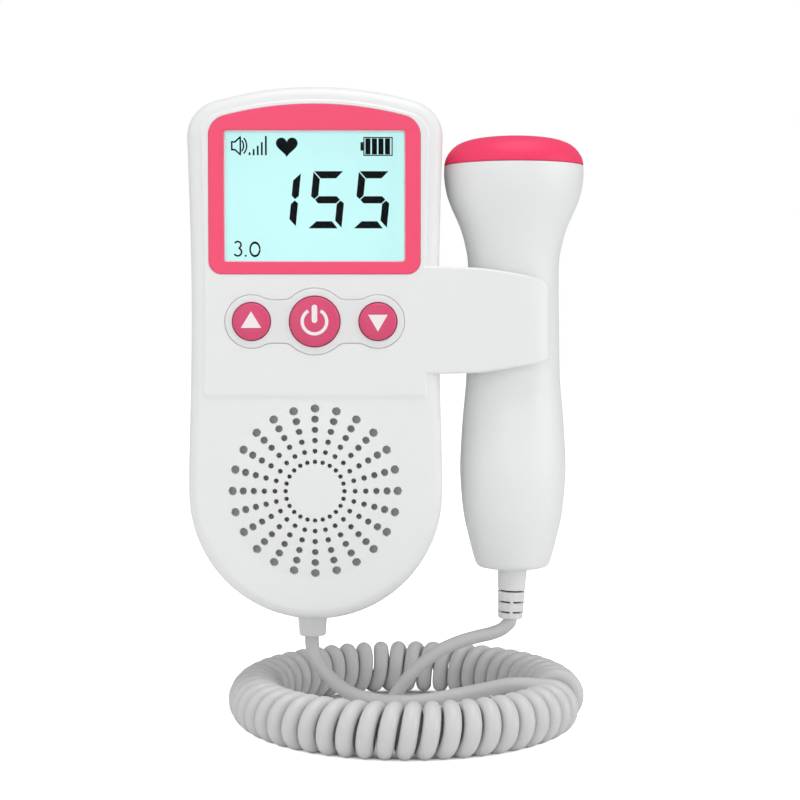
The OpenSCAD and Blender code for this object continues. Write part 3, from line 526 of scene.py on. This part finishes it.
class Skin:
    """Points and faces of one closed moulding."""

    def __init__(self):
        self.points, self.faces = [], []

    def ring(self, loop, by, depth):
        """Adds a loop with an inset at a depth, or at a depth that varies; gives its numbers."""
        flat = inset(loop, by)
        first = len(self.points)
        deep = depth(flat) if callable(depth) else depth + 0 * flat[:, 0]
        self.points += np.column_stack([flat, deep]).tolist()
        return list(range(first, first + len(flat)))

    def wall(self, loop, profile, start=None):
        """Rings at each (inset, depth) of a profile, joined; gives the first and the last."""
        rings = [start or self.ring(loop, *profile[0])]
        rings += [self.ring(loop, *step) for step in profile[1:]]
        for low, high in zip(rings, rings[1:]):
            n = len(low)
            self.faces += [(low[i], low[(i + 1) % n], high[(i + 1) % n], high[i]) for i in range(n)]
        return rings[0], rings[-1]

    def flat(self, outer, *holes):
        """Triangles between a loop and the holes in it."""
        loops = [outer, *holes]
        names = [i for loop in loops for i in loop]
        places = [[Vector((*self.points[i][:2], 0)) for i in loop] for loop in loops]
        self.faces += [tuple(names[i] for i in face) for face in tessellate_polygon(places)]

    def piece(self, name, material, body="main_unit", slot=None, place=stand):
        """The mesh in the frame, with flats kept flat beside the roundings."""
        piece = make_piece(name, place(self.points), self.faces, material, body)
        crease(piece, 40)
        even = piece.modifiers.new("even_normals", "WEIGHTED_NORMAL")
        even.keep_sharp = True
        edges = {}
        for face in piece.data.polygons:
            for key in face.edge_keys:
                edges[key] = edges.get(key, 0) + 1
        print(name, len(piece.data.polygons), "faces, open edges:",
              sum(count != 2 for count in edges.values()))
        return piece


def round_over(r, edge, top, steps=8, sign=1):
    """Profile of a rounded edge: insets grow by r while the depth goes r further to the top."""
    turn = np.radians(np.linspace(0, 90, steps + 1))
    return [(edge + r * (1 - math.cos(t)), top - sign * r * (1 - math.sin(t))) for t in turn]


print("a 3.5 mm rounding in", len(round_over(3.5, 0, 34)), "rings")

# %% [markdown]
# ## The front of the case
#
# The front is one moulding: side walls with a broad rounding, a lower flat with the
# speaker's dome, and an upper flat that stands 0.4 mm proud. Two shallow recesses in
# it take the bezel and the key plate. It is made as a skin with a real wall, so the
# openings show the thickness of the plastic.
#
# The dome's holes lie in 24 rows of six and grow outwards. Each hole sits in its own
# cell of a polar grid. Sixteen points of the cell's border look at sixteen points of
# the hole's rim, so the whole grille is a few lines of array work and no hole is cut.

# %% Grille cells
SEAM, FLAT, RAISED, RECESS, INNER = 17.0, 34.0, 34.4, 33.6, 31.8
DOME_R, DOME_RISE = 22.0, 1.0
ROWS, RINGS, RING_0, RING_STEP = 24, 6, 7.24, 2.62
GRILLE_IN = RING_0 - RING_STEP / 2
GRILLE_OUT = GRILLE_IN + RINGS * RING_STEP
ball_r = (DOME_R ** 2 + DOME_RISE ** 2) / (2 * DOME_RISE)


def dome(r):
    """Depth of a shallow ball cap at a distance from its axis."""
    return FLAT + DOME_RISE - ball_r + np.sqrt(ball_r ** 2 - r ** 2)


def grille(skin):
    """Adds perforated cells, the plain middle and the plain border, on both faces."""
    along = np.linspace(0, 1, 5)[:-1]
    u = np.concatenate([along, 0 * along + 1, 1 - along, 0 * along])      # inwards to outwards
    v = np.concatenate([0 * along, along, 0 * along + 1, 1 - along]) - 0.5  # across the row
    row = np.arange(ROWS)[:, None, None] * 2 * np.pi / ROWS
    ring = np.arange(RINGS)[None, :, None]
    border_r = GRILLE_IN + RING_STEP * (ring + u)
    border_turn = row + v * 2 * np.pi / ROWS
    bx, by = border_r * np.cos(border_turn), border_r * np.sin(border_turn)
    hx, hy = [(RING_0 + RING_STEP * ring) * f(row) for f in (np.cos, np.sin)]
    hole_r = (1.1 + (2.1 - 1.1) * (ring / (RINGS - 1)) ** 1.5) / 2
    way = unit(np.stack([bx - hx, by - hy], -1))
    rims = []
    for grow, sink in ((0.0, 0.14), (0.1, 0.0)):
        x, y = hx + (hole_r + grow) * way[..., 0], hy + (hole_r + grow) * way[..., 1]
        rims.append(np.stack([x, y, dome(np.hypot(x, y)) - sink], -1))
    bottom = rims[0] * [1, 1, 0] + [0, 0, INNER]
    top_border = np.stack([bx, by, dome(np.hypot(bx, by))], -1)
    low_border = top_border * [1, 1, 0] + [0, 0, INNER]
    sheet = np.stack([low_border, bottom, rims[0], rims[1], top_border], 2)  # row, ring, step, point
    sheet = sheet + [0, FOOT_Y, 0]
    cell = grid_faces(5, 16, round_cols=True)
    first = len(skin.points) + 80 * np.arange(ROWS * RINGS)[:, None, None]
    skin.faces += (cell[None] + first).reshape(-1, 4).tolist()
    skin.points += sheet.reshape(-1, 3).tolist()
    for depth in (dome, lambda r: INNER + 0 * r):
        for radii in ([GRILLE_OUT, DOME_R], [GRILLE_IN, 4.0, 2.0, 0.7]):
            turn = (np.arange(96) - 2) * 2 * np.pi / 96
            r = np.array(radii)[:, None]
            x, y = r * np.cos(turn), FOOT_Y + r * np.sin(turn)
            first = len(skin.points)
            skin.points += np.stack([x, y, depth(r) + 0 * x], -1).reshape(-1, 3).tolist()
            skin.faces += (grid_faces(len(radii), 96, round_cols=True) + first).tolist()
            if len(radii) > 2:
                skin.faces.append([first + 3 * 96 + i for i in range(96)])


print("grille:", ROWS * RINGS, "holes, dome", round(float(dome(0) - FLAT), 2), "mm high")

# %% Front moulding
def plateau_outline():
    """The case outline drawn in by 3.5 mm above a straight step, whose slope is 2.6 times wider."""
    points, normals = inset(body_loop, 3.5), body_loop[1]
    keep = points[:, 1] > 55.4
    x = points[keep][0, 0]
    right = chain((x - 0.6, 55.2, 0.6, -90, 0, 5))
    left = chain((0.6 - x, 55.2, 0.6, 180, 270, 5))
    return (np.vstack([right[0], points[keep], left[0]]),
            np.vstack([right[1] * [1, 2.6], normals[keep], left[1] * [1, 2.6]]))


KEYS = {"up": (-KEY_PITCH, 4.6), "power": (0.0, 6.15), "down": (KEY_PITCH, 4.6)}
window_loop = rounded_box((-21.8, 88.1), (21.8, 119.4), 0.4)
plateau_loop = plateau_outline()
front = Skin()
inner_rim, outer_rim = front.wall(body_loop, [
    (3.4, INNER), (2.6, INNER - 0.4), (2.2, INNER - 1.2), (2.2, SEAM), (0.25, SEAM),
    (0.25, SEAM + 0.12), (0, SEAM + 0.4), (0, FLAT - 8)] + round_over(3.1, 0, FLAT))
dome_loop = circle(0, FOOT_Y, DOME_R, 96)
raised = front.wall(plateau_loop, [(-0.3, FLAT), (-0.15, FLAT + 0.06), (0, FLAT + 0.2),
                                   (0.15, RAISED - 0.06), (0.3, RAISED)])
front.flat(outer_rim, front.ring(dome_loop, 0, FLAT), raised[0])
bezel_wall = front.wall(bezel_loop, [(-0.12, RAISED), (-0.05, RAISED - 0.07), (-0.05, RECESS)])
plate_wall = front.wall(surround_loop, [(-0.3, RAISED), (-0.1, RAISED - 0.12), (-0.06, RECESS)])
front.flat(raised[1], bezel_wall[0], plate_wall[0])
window_wall = front.wall(window_loop, [(-0.2, RECESS), (0, RECESS - 0.2), (0, INNER)])
front.flat(bezel_wall[1], window_wall[0])
key_walls = [front.wall(circle(x, KEY_H, r + 0.2), [(0, RECESS), (0, INNER)]) for x, r in KEYS.values()]
front.flat(plate_wall[1], *[w[0] for w in key_walls])
front.flat(inner_rim, front.ring(dome_loop, 0, INNER), window_wall[1], *[w[1] for w in key_walls])
grille(front)
case_front = front.piece("case_front", white_shell, slot="white_shell")
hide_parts("front_shell")

# %% [markdown]
# The back half mirrors the front's wall. Its flat back has four screw wells and the
# opening of the battery door, which steps down to a tray for the two cells.

# %% Back moulding
back = Skin()
inner_rim, outer_rim = back.wall(body_loop, [
    (3.4, 2.2), (2.6, 2.6), (2.2, 3.4), (2.2, SEAM), (0.25, SEAM),
    (0.25, SEAM - 0.12), (0, SEAM - 0.4), (0, 8)] + round_over(3.1, 0, 0, sign=-1))
door_loop = rounded_box((-16.6, 12.5), (16.6, 71.5), 1.5)
bay_loop = rounded_box((-15.1, 14.0), (15.1, 70.0), 0.8)
tray_loop = rounded_box((-16.3, 12.8), (16.3, 71.2), 0.8)
door_wall = back.wall(door_loop, [(-0.2, 0), (0, 0.2), (0, 2.4)])
wells = [back.wall(circle(x, y, 2.3), [(-0.2, 0), (0, 0.2), (0, 8)])
         for x, y in ((-26.4, 117.3), (26.4, 117.3), (-24.3, 24.2), (24.3, 24.2))]
back.flat(outer_rim, door_wall[0], *[w[0] for w in wells])
for well in wells:
    back.faces.append(well[1])
bay_wall = back.wall(bay_loop, [(0, 2.4), (0, 17.2)])
back.flat(door_wall[1], bay_wall[0])
back.faces.append(bay_wall[1])
tray_wall = back.wall(tray_loop, [(0, 2.2), (0, 18.6)])
back.flat(inner_rim, tray_wall[0])
back.faces.append(tray_wall[1])
case_back = back.piece("case_back", white_shell, slot="white_shell")
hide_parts("rear_shell")

# %% [markdown]
# ## The clip
#
# Seen from above, the clip is a C: two jaws that reach round the probe's neck. Its
# upper and lower edges draw together towards the tips in two long curves. So it is a
# section, carried between two height curves, with small roundings at the rims. Like
# the case it is parted at the seam, one half on each moulding.

# %% Clip halves
low_edge = catmull([[26, 60.1], [39.4, 60.5], [46, 61.3], [51.7, 62.3], [56, 63.1], [58.4, 63.7]])
high_edge = catmull([[26, 86.8], [39.4, 86.3], [46, 85.5], [51.7, 84.5], [55.4, 83.6], [57, 82.8],
                     [57.8, 81.4], [58.2, 80]])


def clip_half(name, section):
    """Section loop in x and depth, carried from the lower edge curve to the upper one."""
    loop, way = smooth_loop(np.array(section, float), step=0.35, spread=0.4)
    x, z = loop.T
    if (x * np.roll(z, -1) - np.roll(x, -1) * z).sum() < 0:
        way = -way
    r = 0.7

    def lift(curve, by):
        return lambda flat: np.interp(flat[:, 0], *curve.T) + by

    bend = np.radians(np.linspace(0, 90, 6))
    low = [(r * (1 - math.sin(t)), lift(low_edge, r * (1 - math.cos(t)))) for t in bend]
    high = [(r * (1 - math.cos(t)), lift(high_edge, -r * (1 - math.sin(t)))) for t in bend]
    skin = Skin()
    first, last = skin.wall((loop, way), low + high)
    skin.flat(first)
    skin.flat(last)
    return skin.piece(name, white_shell, slot="white_shell",
                      place=lambda p: stand(np.array(p)[:, [0, 2, 1]]))


HOLLOW_R = 12.3
hollow = chain((PROBE_X, -PROBE_Y, HOLLOW_R, 184.7, 90, 24))[0]
hollow_low = chain((PROBE_X, -PROBE_Y, HOLLOW_R, 270, 184.7, 24))[0]
clip_front = clip_half("clip_front", [[26.2, 17.05], *hollow, [57.8, 30.3], [58, 30.9], [57.2, 31.9],
                                      [55.4, 33.1], [52.8, 34.0], [49.7, 34.4], [40, 34.41], [26.2, 34.41]])
clip_back = clip_half("clip_back", [[26.2, 2.3], [53.7, 2.3], [56, 2.9], [57.2, 4.1], [57.2, 5.7],
                                    *hollow_low, [26.2, 16.95]])
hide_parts("front_shell")
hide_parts("rear_shell")

# %% [markdown]
# ## Bezel, key plate and keys
#
# The bezel and the key plate lie in their recesses and stand up to 0.2 mm proud, so a
# fine shadow line runs round each. The keys are turned: a crowned face, a rounded shoulder
# and the flange that holds them behind the front. Each mark on them is a thin inlay.

# %% Bezel and key plate
bezel = Skin()
rim = bezel.wall(bezel_loop, [(0, RECESS)] + round_over(0.25, 0, 34.6, 5))
pane = bezel.wall(rounded_box((-22.2, 87.7), (22.2, 119.8), 0.6),
                  [(-0.25, 34.6), (-0.08, 34.53), (0, 34.35), (0, RECESS)])
bezel.flat(rim[1], pane[0])
bezel.flat(rim[0], pane[1])
display_frame = bezel.piece("display_frame", bezel_pink, slot="bezel_pink")
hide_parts("display_bezel")

plate = Skin()
rim = plate.wall(surround_loop, [(0, RECESS)] + round_over(0.25, 0, 34.55, 5))
holes = [plate.wall(circle(x, KEY_H, r + 0.18), [(-0.15, 34.55), (-0.04, 34.51), (0, 34.4), (0, RECESS)])
         for x, r in KEYS.values()]
plate.flat(rim[1], *[h[0] for h in holes])
plate.flat(rim[0], *[h[1] for h in holes])
key_plate = plate.piece("key_plate", surround_white, slot="surround_white")
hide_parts("button_surround")

# %% Keys
KEY_FACE = 35.4
for way, (x, r) in KEYS.items():
    crown = catmull([[0, 0.25], [r * 0.6, 0.17], [r - 0.8, -0.05], [r - 0.25, -0.3], [r, -0.8]], 5)
    profile = [(a, KEY_FACE + b) for a, b in crown]
    profile += [(r, 31.6), (r + 1.1, 31.6), (r + 1.1, 30.8), (0, 30.8)]
    points, faces = lathe(profile)
    key = make_piece("key_" + way + "_cap", stand(points + [x, KEY_H, 0]), faces, key_pink,
                     body="key_" + way)
    crease(key, 50)
    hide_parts("button_" + way)
print("keys at", [x for x, r in KEYS.values()], "mm")

# %% [markdown]
# An inlay is a thin prism on a flat outline. Triangles and bars are given by their
# corners; the ring of the power mark is an arc with a width.

# %% Marks on the keys
def inlay(skin, corners, low, high):
    """A thin prism between two depths on a polygon, or on a list of them."""
    loop = (np.asarray(corners, float), np.zeros((len(corners), 2)))
    first, last = skin.wall(loop, [(0, low), (0, high)])
    skin.flat(first)
    skin.flat(last)


def arc_band(x, y, r, width, start, end, steps=36):
    """Corners of a bent band: out along its outer edge, back along its inner edge."""
    outer = chain((x, y, r + width / 2, start, end, steps))[0]
    inner = chain((x, y, r - width / 2, end, start, steps))[0]
    return np.vstack([outer, inner])


def slab_box(x0, y0, x1, y1):
    """Corners of an upright rectangle."""
    return [[x0, y0], [x1, y0], [x1, y1], [x0, y1]]


MARK_LOW, MARK_HIGH = 35.4, 35.68
marks = {
    "up": [[[-2.5, -1.55], [2.5, -1.55], [0, 2.5]]],
    "power": [arc_band(0, 0, 3.0, 0.8, 120, 420),
              np.vstack([chain((0, 3.45, 0.68, 0, 180, 10))[0], chain((0, 0.33, 0.68, 180, 360, 10))[0]])],
    "down": [[[-2.4, 1.65], [0, -2.45], [2.4, 1.65]]]}
for way, shapes in marks.items():
    skin = Skin()
    for shape in shapes:
        inlay(skin, np.asarray(shape) + [KEYS[way][0], KEY_H], MARK_LOW, MARK_HIGH)
    skin.piece("key_" + way + "_mark", mark_white, body="key_" + way, slot="surround_white")

# %% [markdown]
# ## The display
#
# A segment display shows black shapes on a lit, pale ground. The seven segments of a
# digit share one outline: bars with mitred ends, leaning to the right. The row of
# small signs above is made of the same thin prisms. The lit ground is the CAD's glass,
# whose finish is half paint and half light, so it stays bright in shade.

# %% Digits and signs
def segments(x, y, names, wide=8.25, high=14.0, t=1.75, gap=0.17, lean=0.1, short=(0.8, 0.6)):
    """Corners of the named segments a to g of one digit, from its lower left; a and d end short."""
    mid, s = high / 2, t / 2
    bars = {"a": [[gap, high], [wide - gap - short[0], high],
                  [wide - t - gap - short[1], high - t], [t + gap, high - t]],
            "f": [[0, high - gap], [0, mid + s], [s, mid + gap], [t, mid + s + gap], [t, high - t - gap]],
            "g": [[s + gap, mid], [t + gap, mid + s], [wide - t - gap, mid + s],
                  [wide - s - gap, mid], [wide - t - gap, mid - s], [t + gap, mid - s]]}
    flip_x, flip_y = lambda b: [[wide - p, q] for p, q in b], lambda b: [[p, high - q] for p, q in b]
    bars["b"], bars["d"], bars["e"] = flip_x(bars["f"]), flip_y(bars["a"]), flip_y(bars["f"])
    bars["c"] = flip_x(bars["e"])
    return [[[x + p + lean * q, y + q] for p, q in bars[name]] for name in names]


turn = np.linspace(0, 2 * np.pi, 49)[:-1]
heart = np.stack([16 * np.sin(turn) ** 3,
                  13 * np.cos(turn) - 5 * np.cos(2 * turn) - 2 * np.cos(3 * turn) - np.cos(4 * turn)], -1)
digits = segments(-13.0, 96.35, "bc", high=13.3) + segments(-1.75, 96.0, "afgcd")
digits += segments(9.4, 96.0, "afgcd")
signs = [heart * 0.168 + [-6.9, 116.2]]
signs += [slab_box(x, 113.9, x + 0.45, h)
          for x, h in ((-16.25, 114.6), (-15.25, 115.4), (-14.25, 116.2), (-13.25, 117.1), (-12.25, 118.6))]
signs += [slab_box(x, 114.1, x + 1.25, 118.0) for x in (12.4, 14.0, 15.6, 17.2)]
signs += [slab_box(11.9, 113.75, 19.1, 114.02), slab_box(11.9, 118.08, 19.1, 118.35),
          slab_box(18.83, 114.02, 19.1, 118.08), slab_box(11.9, 114.02, 12.17, 118.08),
          slab_box(11.2, 115.0, 11.88, 117.1)]
signs += [slab_box(-20.6, 115.05, -20.2, 117.35), slab_box(-20.2, 116.95, -19.4, 117.35),
          slab_box(-20.2, 115.05, -19.4, 115.45),
          [[-19.6, 116.9], [-18.2, 118.2], [-18.2, 118.7], [-19.6, 117.45]],
          [[-19.6, 115.5], [-19.6, 114.95], [-18.2, 113.7], [-18.2, 114.2]],
          slab_box(-18.5, 114.1, -18.1, 118.3),
          arc_band(-19.6, 116.2, 2.1, 0.36, -38, 38, 10), arc_band(-19.6, 116.2, 2.85, 0.36, -42, 42, 12)]
signs += [arc_band(-19.05, 91.95, 0.82, 0.42, -70, 150, 20), arc_band(-19.05, 90.2, 0.95, 0.42, -150, 75, 20),
          slab_box(-17.3, 89.05, -16.85, 89.5),
          arc_band(0, 0, 1.0, 0.34, 0, 358, 40) * [1.2, 1.65] + [-14.8, 90.85]]
GLASS_FACE = 31.5
for name, shapes in (("display_digits", digits), ("display_signs", signs)):
    skin = Skin()
    for shape in shapes:
        inlay(skin, shape, GLASS_FACE, GLASS_FACE + 0.12)
    skin.piece(name, segment_black, slot="switch_black")
print(len(digits), "segments and", len(signs), "sign shapes")

# %% [markdown]
# ## The probe
#
# The handle is a turned form of two halves, parted in a fine line at its sides. Its
# outline is drawn in at the neck, where the clip holds it, and flares to the head. The
# pink cap closes the head. Both are profiles turned about the probe's own axis.

# %% Handle halves and cap
def at_probe(points):
    """From the probe's own axes in millimetres to metres in the frame."""
    return (np.asarray(points, float) + [PROBE_X, PROBE_Y, PROBE_LOW]) * MM


handle_line = catmull([[7.4, 0], [8.9, 0.5], [9.8, 2.3], [11.2, 7.6], [12.6, 14.2], [13.4, 23.6],
                       [13.3, 30], [12.8, 38], [11.9, 48.8], [11.6, 62], [11.5, 76.4], [12.3, 82.2],
                       [13.6, 86.6], [16.0, 92.1], [17.1, 95.6], [17.6, 99.1], [17.6, 101.85]], 6)


def handle_half(name, start, node):
    """The wall's section, turned through half a circle; the end columns step in for the parting line."""
    inner = handle_line[handle_line[:, 1] > 3.0][::-1] - [1.8, 0]
    section = np.vstack([[[3.5, 0], [6.4, 0]], handle_line, inner, [[inner[-1][0], 2.4], [3.5, 2.4]]])
    turn = np.radians(start + np.concatenate([[0.25, 1.1], np.linspace(4, 176, 57), [178.9, 179.75]]))
    shrink = np.ones(len(turn))
    shrink[[0, -1]] = 1 - 0.16 / 12
    r = section[:, :1] * shrink
    points = np.stack([r * np.cos(turn), r * np.sin(turn), section[:, 1:] + 0 * r], -1)
    n = len(section)
    faces = grid_faces(n, len(turn), round_rows=True).tolist()
    ends = [[i * len(turn) + j for i in range(n)] for j in (0, len(turn) - 1)]
    piece = make_piece(name, at_probe(points.reshape(-1, 3)), faces + ends, white_shell,
                       body="probe")
    crease(piece, 40)
    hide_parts(node)


handle_half("handle_front", 180, "probe_shell_front")
handle_half("handle_back", 0, "probe_shell_rear")
cap_line = np.vstack([
    catmull([[0, 109.35], [4.8, 109.2], [8.6, 108.85], [11.6, 108.3], [13.9, 107.45], [15.3, 106.5],
             [16.3, 105.4], [17.0, 104.3], [17.4, 103.2], [17.6, 102.2]], 5),
    [[17.45, 101.97], [15.7, 101.97], [15.7, 98.55], [14.3, 98.55], [14.3, 106.05], [0, 106.05]]])
points, faces = lathe(cap_line, 96)
probe_nose = make_piece("probe_nose", at_probe(points), faces, cap_pink, body="probe")
crease(probe_nose, 50)
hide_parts("probe_cap")
print("probe handle", round(handle_line[:, 1].max(), 1), "mm long,",
      round(2 * handle_line[:, 0].max(), 1), "mm across the head")

# %% [markdown]
# ## The bush and the bend relief
# The bush at the unit's foot is a plain turned taper. The bend relief under the probe is
# a taper with one groove all round and two rows of short slots. Its radius is therefore
# a function of height and angle: the taper, less the slots' depth wherever a row's band
# and one of its four dashes meet. Doubled lines beside each edge keep the slots crisp.
# The floors of the groove and the slots are painted black as shade.

# %% Bush and bend relief
gland_line = np.array([[0, -7.3], [3.15, -7.3], [3.32, -7.22], [3.4, -7.05], [3.48, -5.5], [3.9, -1.4],
                       [3.9, -0.8], [3.45, -0.8], [3.45, 3.0], [0, 3.0]])
points, faces = lathe(gland_line, 64)
bush = make_piece("cord_bush", (np.asarray(points) + [-1.55, -17, -MOUNT_H]) * MM, faces, bush_grey)
crease(bush, 40)
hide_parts("cord_gland")

RELIEF_LEN, RELIEF_GAP = 12.9, 0.3
slots = [(-6.0, None), (-8.8, 4), (-11.4, 4)]
rows = [-RELIEF_LEN - RELIEF_GAP, -RELIEF_LEN - RELIEF_GAP + 0.3, -0.55, -RELIEF_GAP]
rows += [z + s for z, _ in slots for s in (-0.24, -0.2, 0.2, 0.24)] + [-3.0, -7.4, -10.1]
rows = np.array(sorted(rows))[:, None]
dash = np.radians([(90 * k + s) % 360 for k in range(4) for s in (7, 9, 25, 45, 65, 81, 83)])
angles = np.sort(dash)[None, :]
taper = 3.1 + (rows + RELIEF_LEN + RELIEF_GAP) / RELIEF_LEN * 0.65
edge = np.where(rows < -13.1, 0.3, np.where(rows > -0.4, 0.15, 0.0))
in_dash = np.abs((np.degrees(angles) + 45) % 90 - 45) > 8
depth = np.zeros((len(rows), angles.shape[1]))
for z, dashes in slots:
    band = np.abs(rows - z) < 0.21
    depth += np.where(band & (in_dash | (dashes is None)), 0.75, 0)
r = taper - edge - depth
points = np.stack([r * np.cos(angles), r * np.sin(angles), rows + 0 * angles], -1)
tilt = np.array([[math.cos(lean), 0, math.sin(lean)], [0, 1, 0], [-math.sin(lean), 0, math.cos(lean)]])
n = angles.shape[1]
faces = grid_faces(len(rows), n, round_cols=True).tolist()
ends = [list(range(n)), list(range((len(rows) - 1) * n, len(rows) * n))]
bend_relief = make_piece("bend_relief", at_probe(points.reshape(-1, 3) @ tilt.T), faces + ends, bush_grey,
                         body="probe")
# painted shade: the floors of the groove and the slots take the black finish, standing in for the shade in
# them
bend_relief.data.materials.append(switch_black)
deep = depth.reshape(-1) > 0
for face in bend_relief.data.polygons:
    corner = list(face.vertices)
    face.material_index = int(len(corner) == 4 and deep[corner].all())
crease(bend_relief, 30)
points, faces = lathe([[0, -0.3], [3.4, -0.3], [3.4, 2.5], [4.75, 2.5], [4.75, 4.0], [0, 4.0]], 48)
relief_root = make_piece("relief_root", at_probe(points), faces, cord_grey, body="probe")
crease(relief_root, 40)
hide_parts("probe_strain_relief")
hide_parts("probe_strain_relief")
print("bend relief:", len(bend_relief.data.polygons), "faces")

# %% [markdown]
# ## Finishes of the parts inside
#
# The parts that the CAD already shows rightly keep their meshes and only get finishes.
# Metals have fine scratches along one way, the board has copper tracks under its green
# mask, and the cells have a plain wrap with a band at one end.

# %% Metals, board, cells and glass
def metal(name, colour, gloss, squeeze=(1, 1, 6), grain=0.15):
    """Bare metal: drawn scratches along one axis and a faint, cloudy tarnish."""
    f = Finish(name)
    scratch = f.noise(0.6 * MM, 3, squeeze)
    cloud = f.noise(9 * MM, 4)
    dull = tuple(c * 0.82 for c in colour[:3]) + (1.0,)
    return f.finish(Base_Color=f.blend(cloud, colour, dull), Metallic=1.0,
                    Roughness=scratch * 0.2 + (gloss - 0.1),
                    Normal=f.bump(scratch, grain, 0.03 * MM))


screw_steel = metal("screw_steel", srgb(198, 200, 204), 0.3)
contact_metal = metal("contact_metal", srgb(214, 212, 204), 0.28)
speaker_steel = metal("speaker_steel", srgb(150, 152, 156), 0.42)
transducer_gold = metal("transducer_gold", srgb(224, 196, 132), 0.3)

f = Finish("circuit_board")
tracks = f.node("TexBrick", {"offset": 0.5}, Vector=f.place(1000, (1, 1, 1)), Scale=0.35,
                Mortar_Size=0.09, Color1=(1, 1, 1, 1), Color2=(0.8, 0.8, 0.8, 1), Mortar=(0, 0, 0, 1))
mask = f.noise(2.5 * MM, 3)
circuit_board = f.finish(Base_Color=f.blend(tracks * 0.7 + mask * 0.3, srgb(26, 104, 58), srgb(14, 74, 40)),
                         Roughness=mask * 0.15 + 0.3, Normal=f.bump(tracks, 0.2, 0.03 * MM))

f = Finish("cell_wrap")
band = f.node("SeparateXYZ", {}, f.place(1), out=2) > -0.045
print_grain = f.noise(0.8 * MM, 2)
cell_wrap = f.finish(Base_Color=f.blend(band, srgb(38, 40, 44), srgb(196, 152, 74)), Metallic=0.25,
                     Roughness=print_grain * 0.1 + 0.3, Normal=f.bump(print_grain, 0.05, 0.02 * MM))

f = Finish("backlight")
milky = f.noise(3 * MM, 2)
backlight = f.finish(Base_Color=f.blend(milky, srgb(226, 246, 244), srgb(214, 238, 236)),
                     Roughness=milky * 0.1 + 0.4)

f = Finish("lcd_pane")
haze = f.noise(22 * MM, 2)
lcd_pane = f.finish(Base_Color=f.blend(haze, srgb(150, 190, 190), srgb(144, 184, 184)),
                    Emission_Color=f.blend(haze, srgb(176, 224, 222), srgb(170, 218, 216)),
                    Emission_Strength=0.75, Roughness=haze * 0.05 + 0.3)

f = Finish("clear_window")
smear = f.noise(12 * MM, 4)
clear_window = f.finish(Base_Color=(0.05, 0.06, 0.06, 1), Roughness=smear * 0.05 + 0.03,
                        Specular_IOR_Level=0.3, Alpha=0.02)

finishes = {m.name.split(".")[0]: m for m in (
    screw_steel, contact_metal, speaker_steel, transducer_gold, circuit_board, cell_wrap, backlight,
    lcd_pane, clear_window, white_shell, surround_white, bezel_pink, key_pink, cap_pink, switch_black,
    cloth_grey, cone_black, backing_rubber, cord_grey)}
for row in frame["record"]["subparts"]:
    node = frame["nodes"][row["node"]]
    for place in node.material_slots:
        place.material = finishes[row["material_slot"]]
print(len(finishes), "finishes on", len(frame["nodes"]), "nodes")

# %% [markdown]
# ## Floor, light and the closing lines
#
# The object stands over a plain white floor in soft light. The camera sees the
# surroundings as pure white, also through the clear window, but the light that falls
# on the object comes from a mild sky and four large lamps at a plain level. A glow
# that only the camera sees makes the floor white outside the ring of curls, and it
# fades out towards the ring: this paints shade on the floor inside the ring. There the
# floor also keeps its own shade and the cord's real shadow.

# %% Floor and light
f = Finish("studio_floor")
cloudy = f.noise(0.4, 2)
paint = f.node("BsdfDiffuse", {}, f.blend(cloudy, srgb(248, 248, 248), srgb(245, 245, 245)))
ring_foot = tuple(RING_MID * [MM, MM, 0] + [0, 0, FLOOR_Z * MM])
from_ring = f.node("VectorMath", {"operation": "DISTANCE"}, f.place(1), ring_foot, out=1)
# painted shade: the camera-only glow fades out towards the ring of curls, so the floor inside the ring is
# painted darker
painted_ring_shade = f.node("MapRange", {"interpolation_type": "SMOOTHSTEP"}, from_ring, 37 * MM, 41 * MM, 0.0, 0.85)
glow = f.node("Emission", {}, (1, 1, 1, 1), f.node("LightPath", {}, out=0) * painted_ring_shade)
f.node("OutputMaterial", {}, f.node("AddShader", {}, paint, glow))
half = 3.0   # metres from the middle to the floor's edge
floor = make_piece("studio_floor", [(-half, -half, FLOOR_Z * MM), (half, -half, FLOOR_Z * MM),
                                    (half, half, FLOOR_Z * MM), (-half, half, FLOOR_Z * MM)],
                   [(0, 1, 2, 3)], f.material, body=None)

SKY = 0.33
world = bpy.data.worlds.new("studio_air")
bpy.context.scene.world = world
air = Finish("studio_air", world)
by_camera, by_glass = (air.node("LightPath", {}, out=f"Is {ray} Ray") for ray in ("Camera", "Transmission"))
seen = air.node("Math", {"operation": "MAXIMUM"}, by_camera, by_glass)
sky = air.node("Background", {}, (1, 1, 1, 1), SKY)
white = air.node("Background", {}, (1, 1, 1, 1), 1.0)
air.node("OutputWorld", {}, air.node("MixShader", {}, seen, sky, white))


def lamp(name, place, aim, size, watts):
    """A large square lamp at a place, turned towards a point."""
    data = bpy.data.lights.new(name, "AREA")
    data.size, data.energy = size, watts
    made = bpy.data.objects.new(name, data)
    bpy.context.scene.collection.objects.link(made)
    made.location = place
    made.rotation_euler = (Vector(aim) - Vector(place)).to_track_quat("-Z", "Y").to_euler()


lamp("lamp_right", (0.95, -0.3, 0.2), (0.03, -0.02, 0), 0.6, 2.8)
lamp("lamp_left", (-0.8, -0.35, 0.4), (-0.02, -0.02, 0), 0.7, 1.5)
lamp("lamp_above", (0.1, -0.2, 0.9), (0.02, -0.02, -0.02), 0.7, 4.6)
lamp("lamp_front", (-0.25, -1.0, 0.25), (0.02, 0, -0.02), 0.7, 2.3)
bpy.context.scene.view_settings.view_transform = "Standard"
print("four lamps and a sky at", SKY)
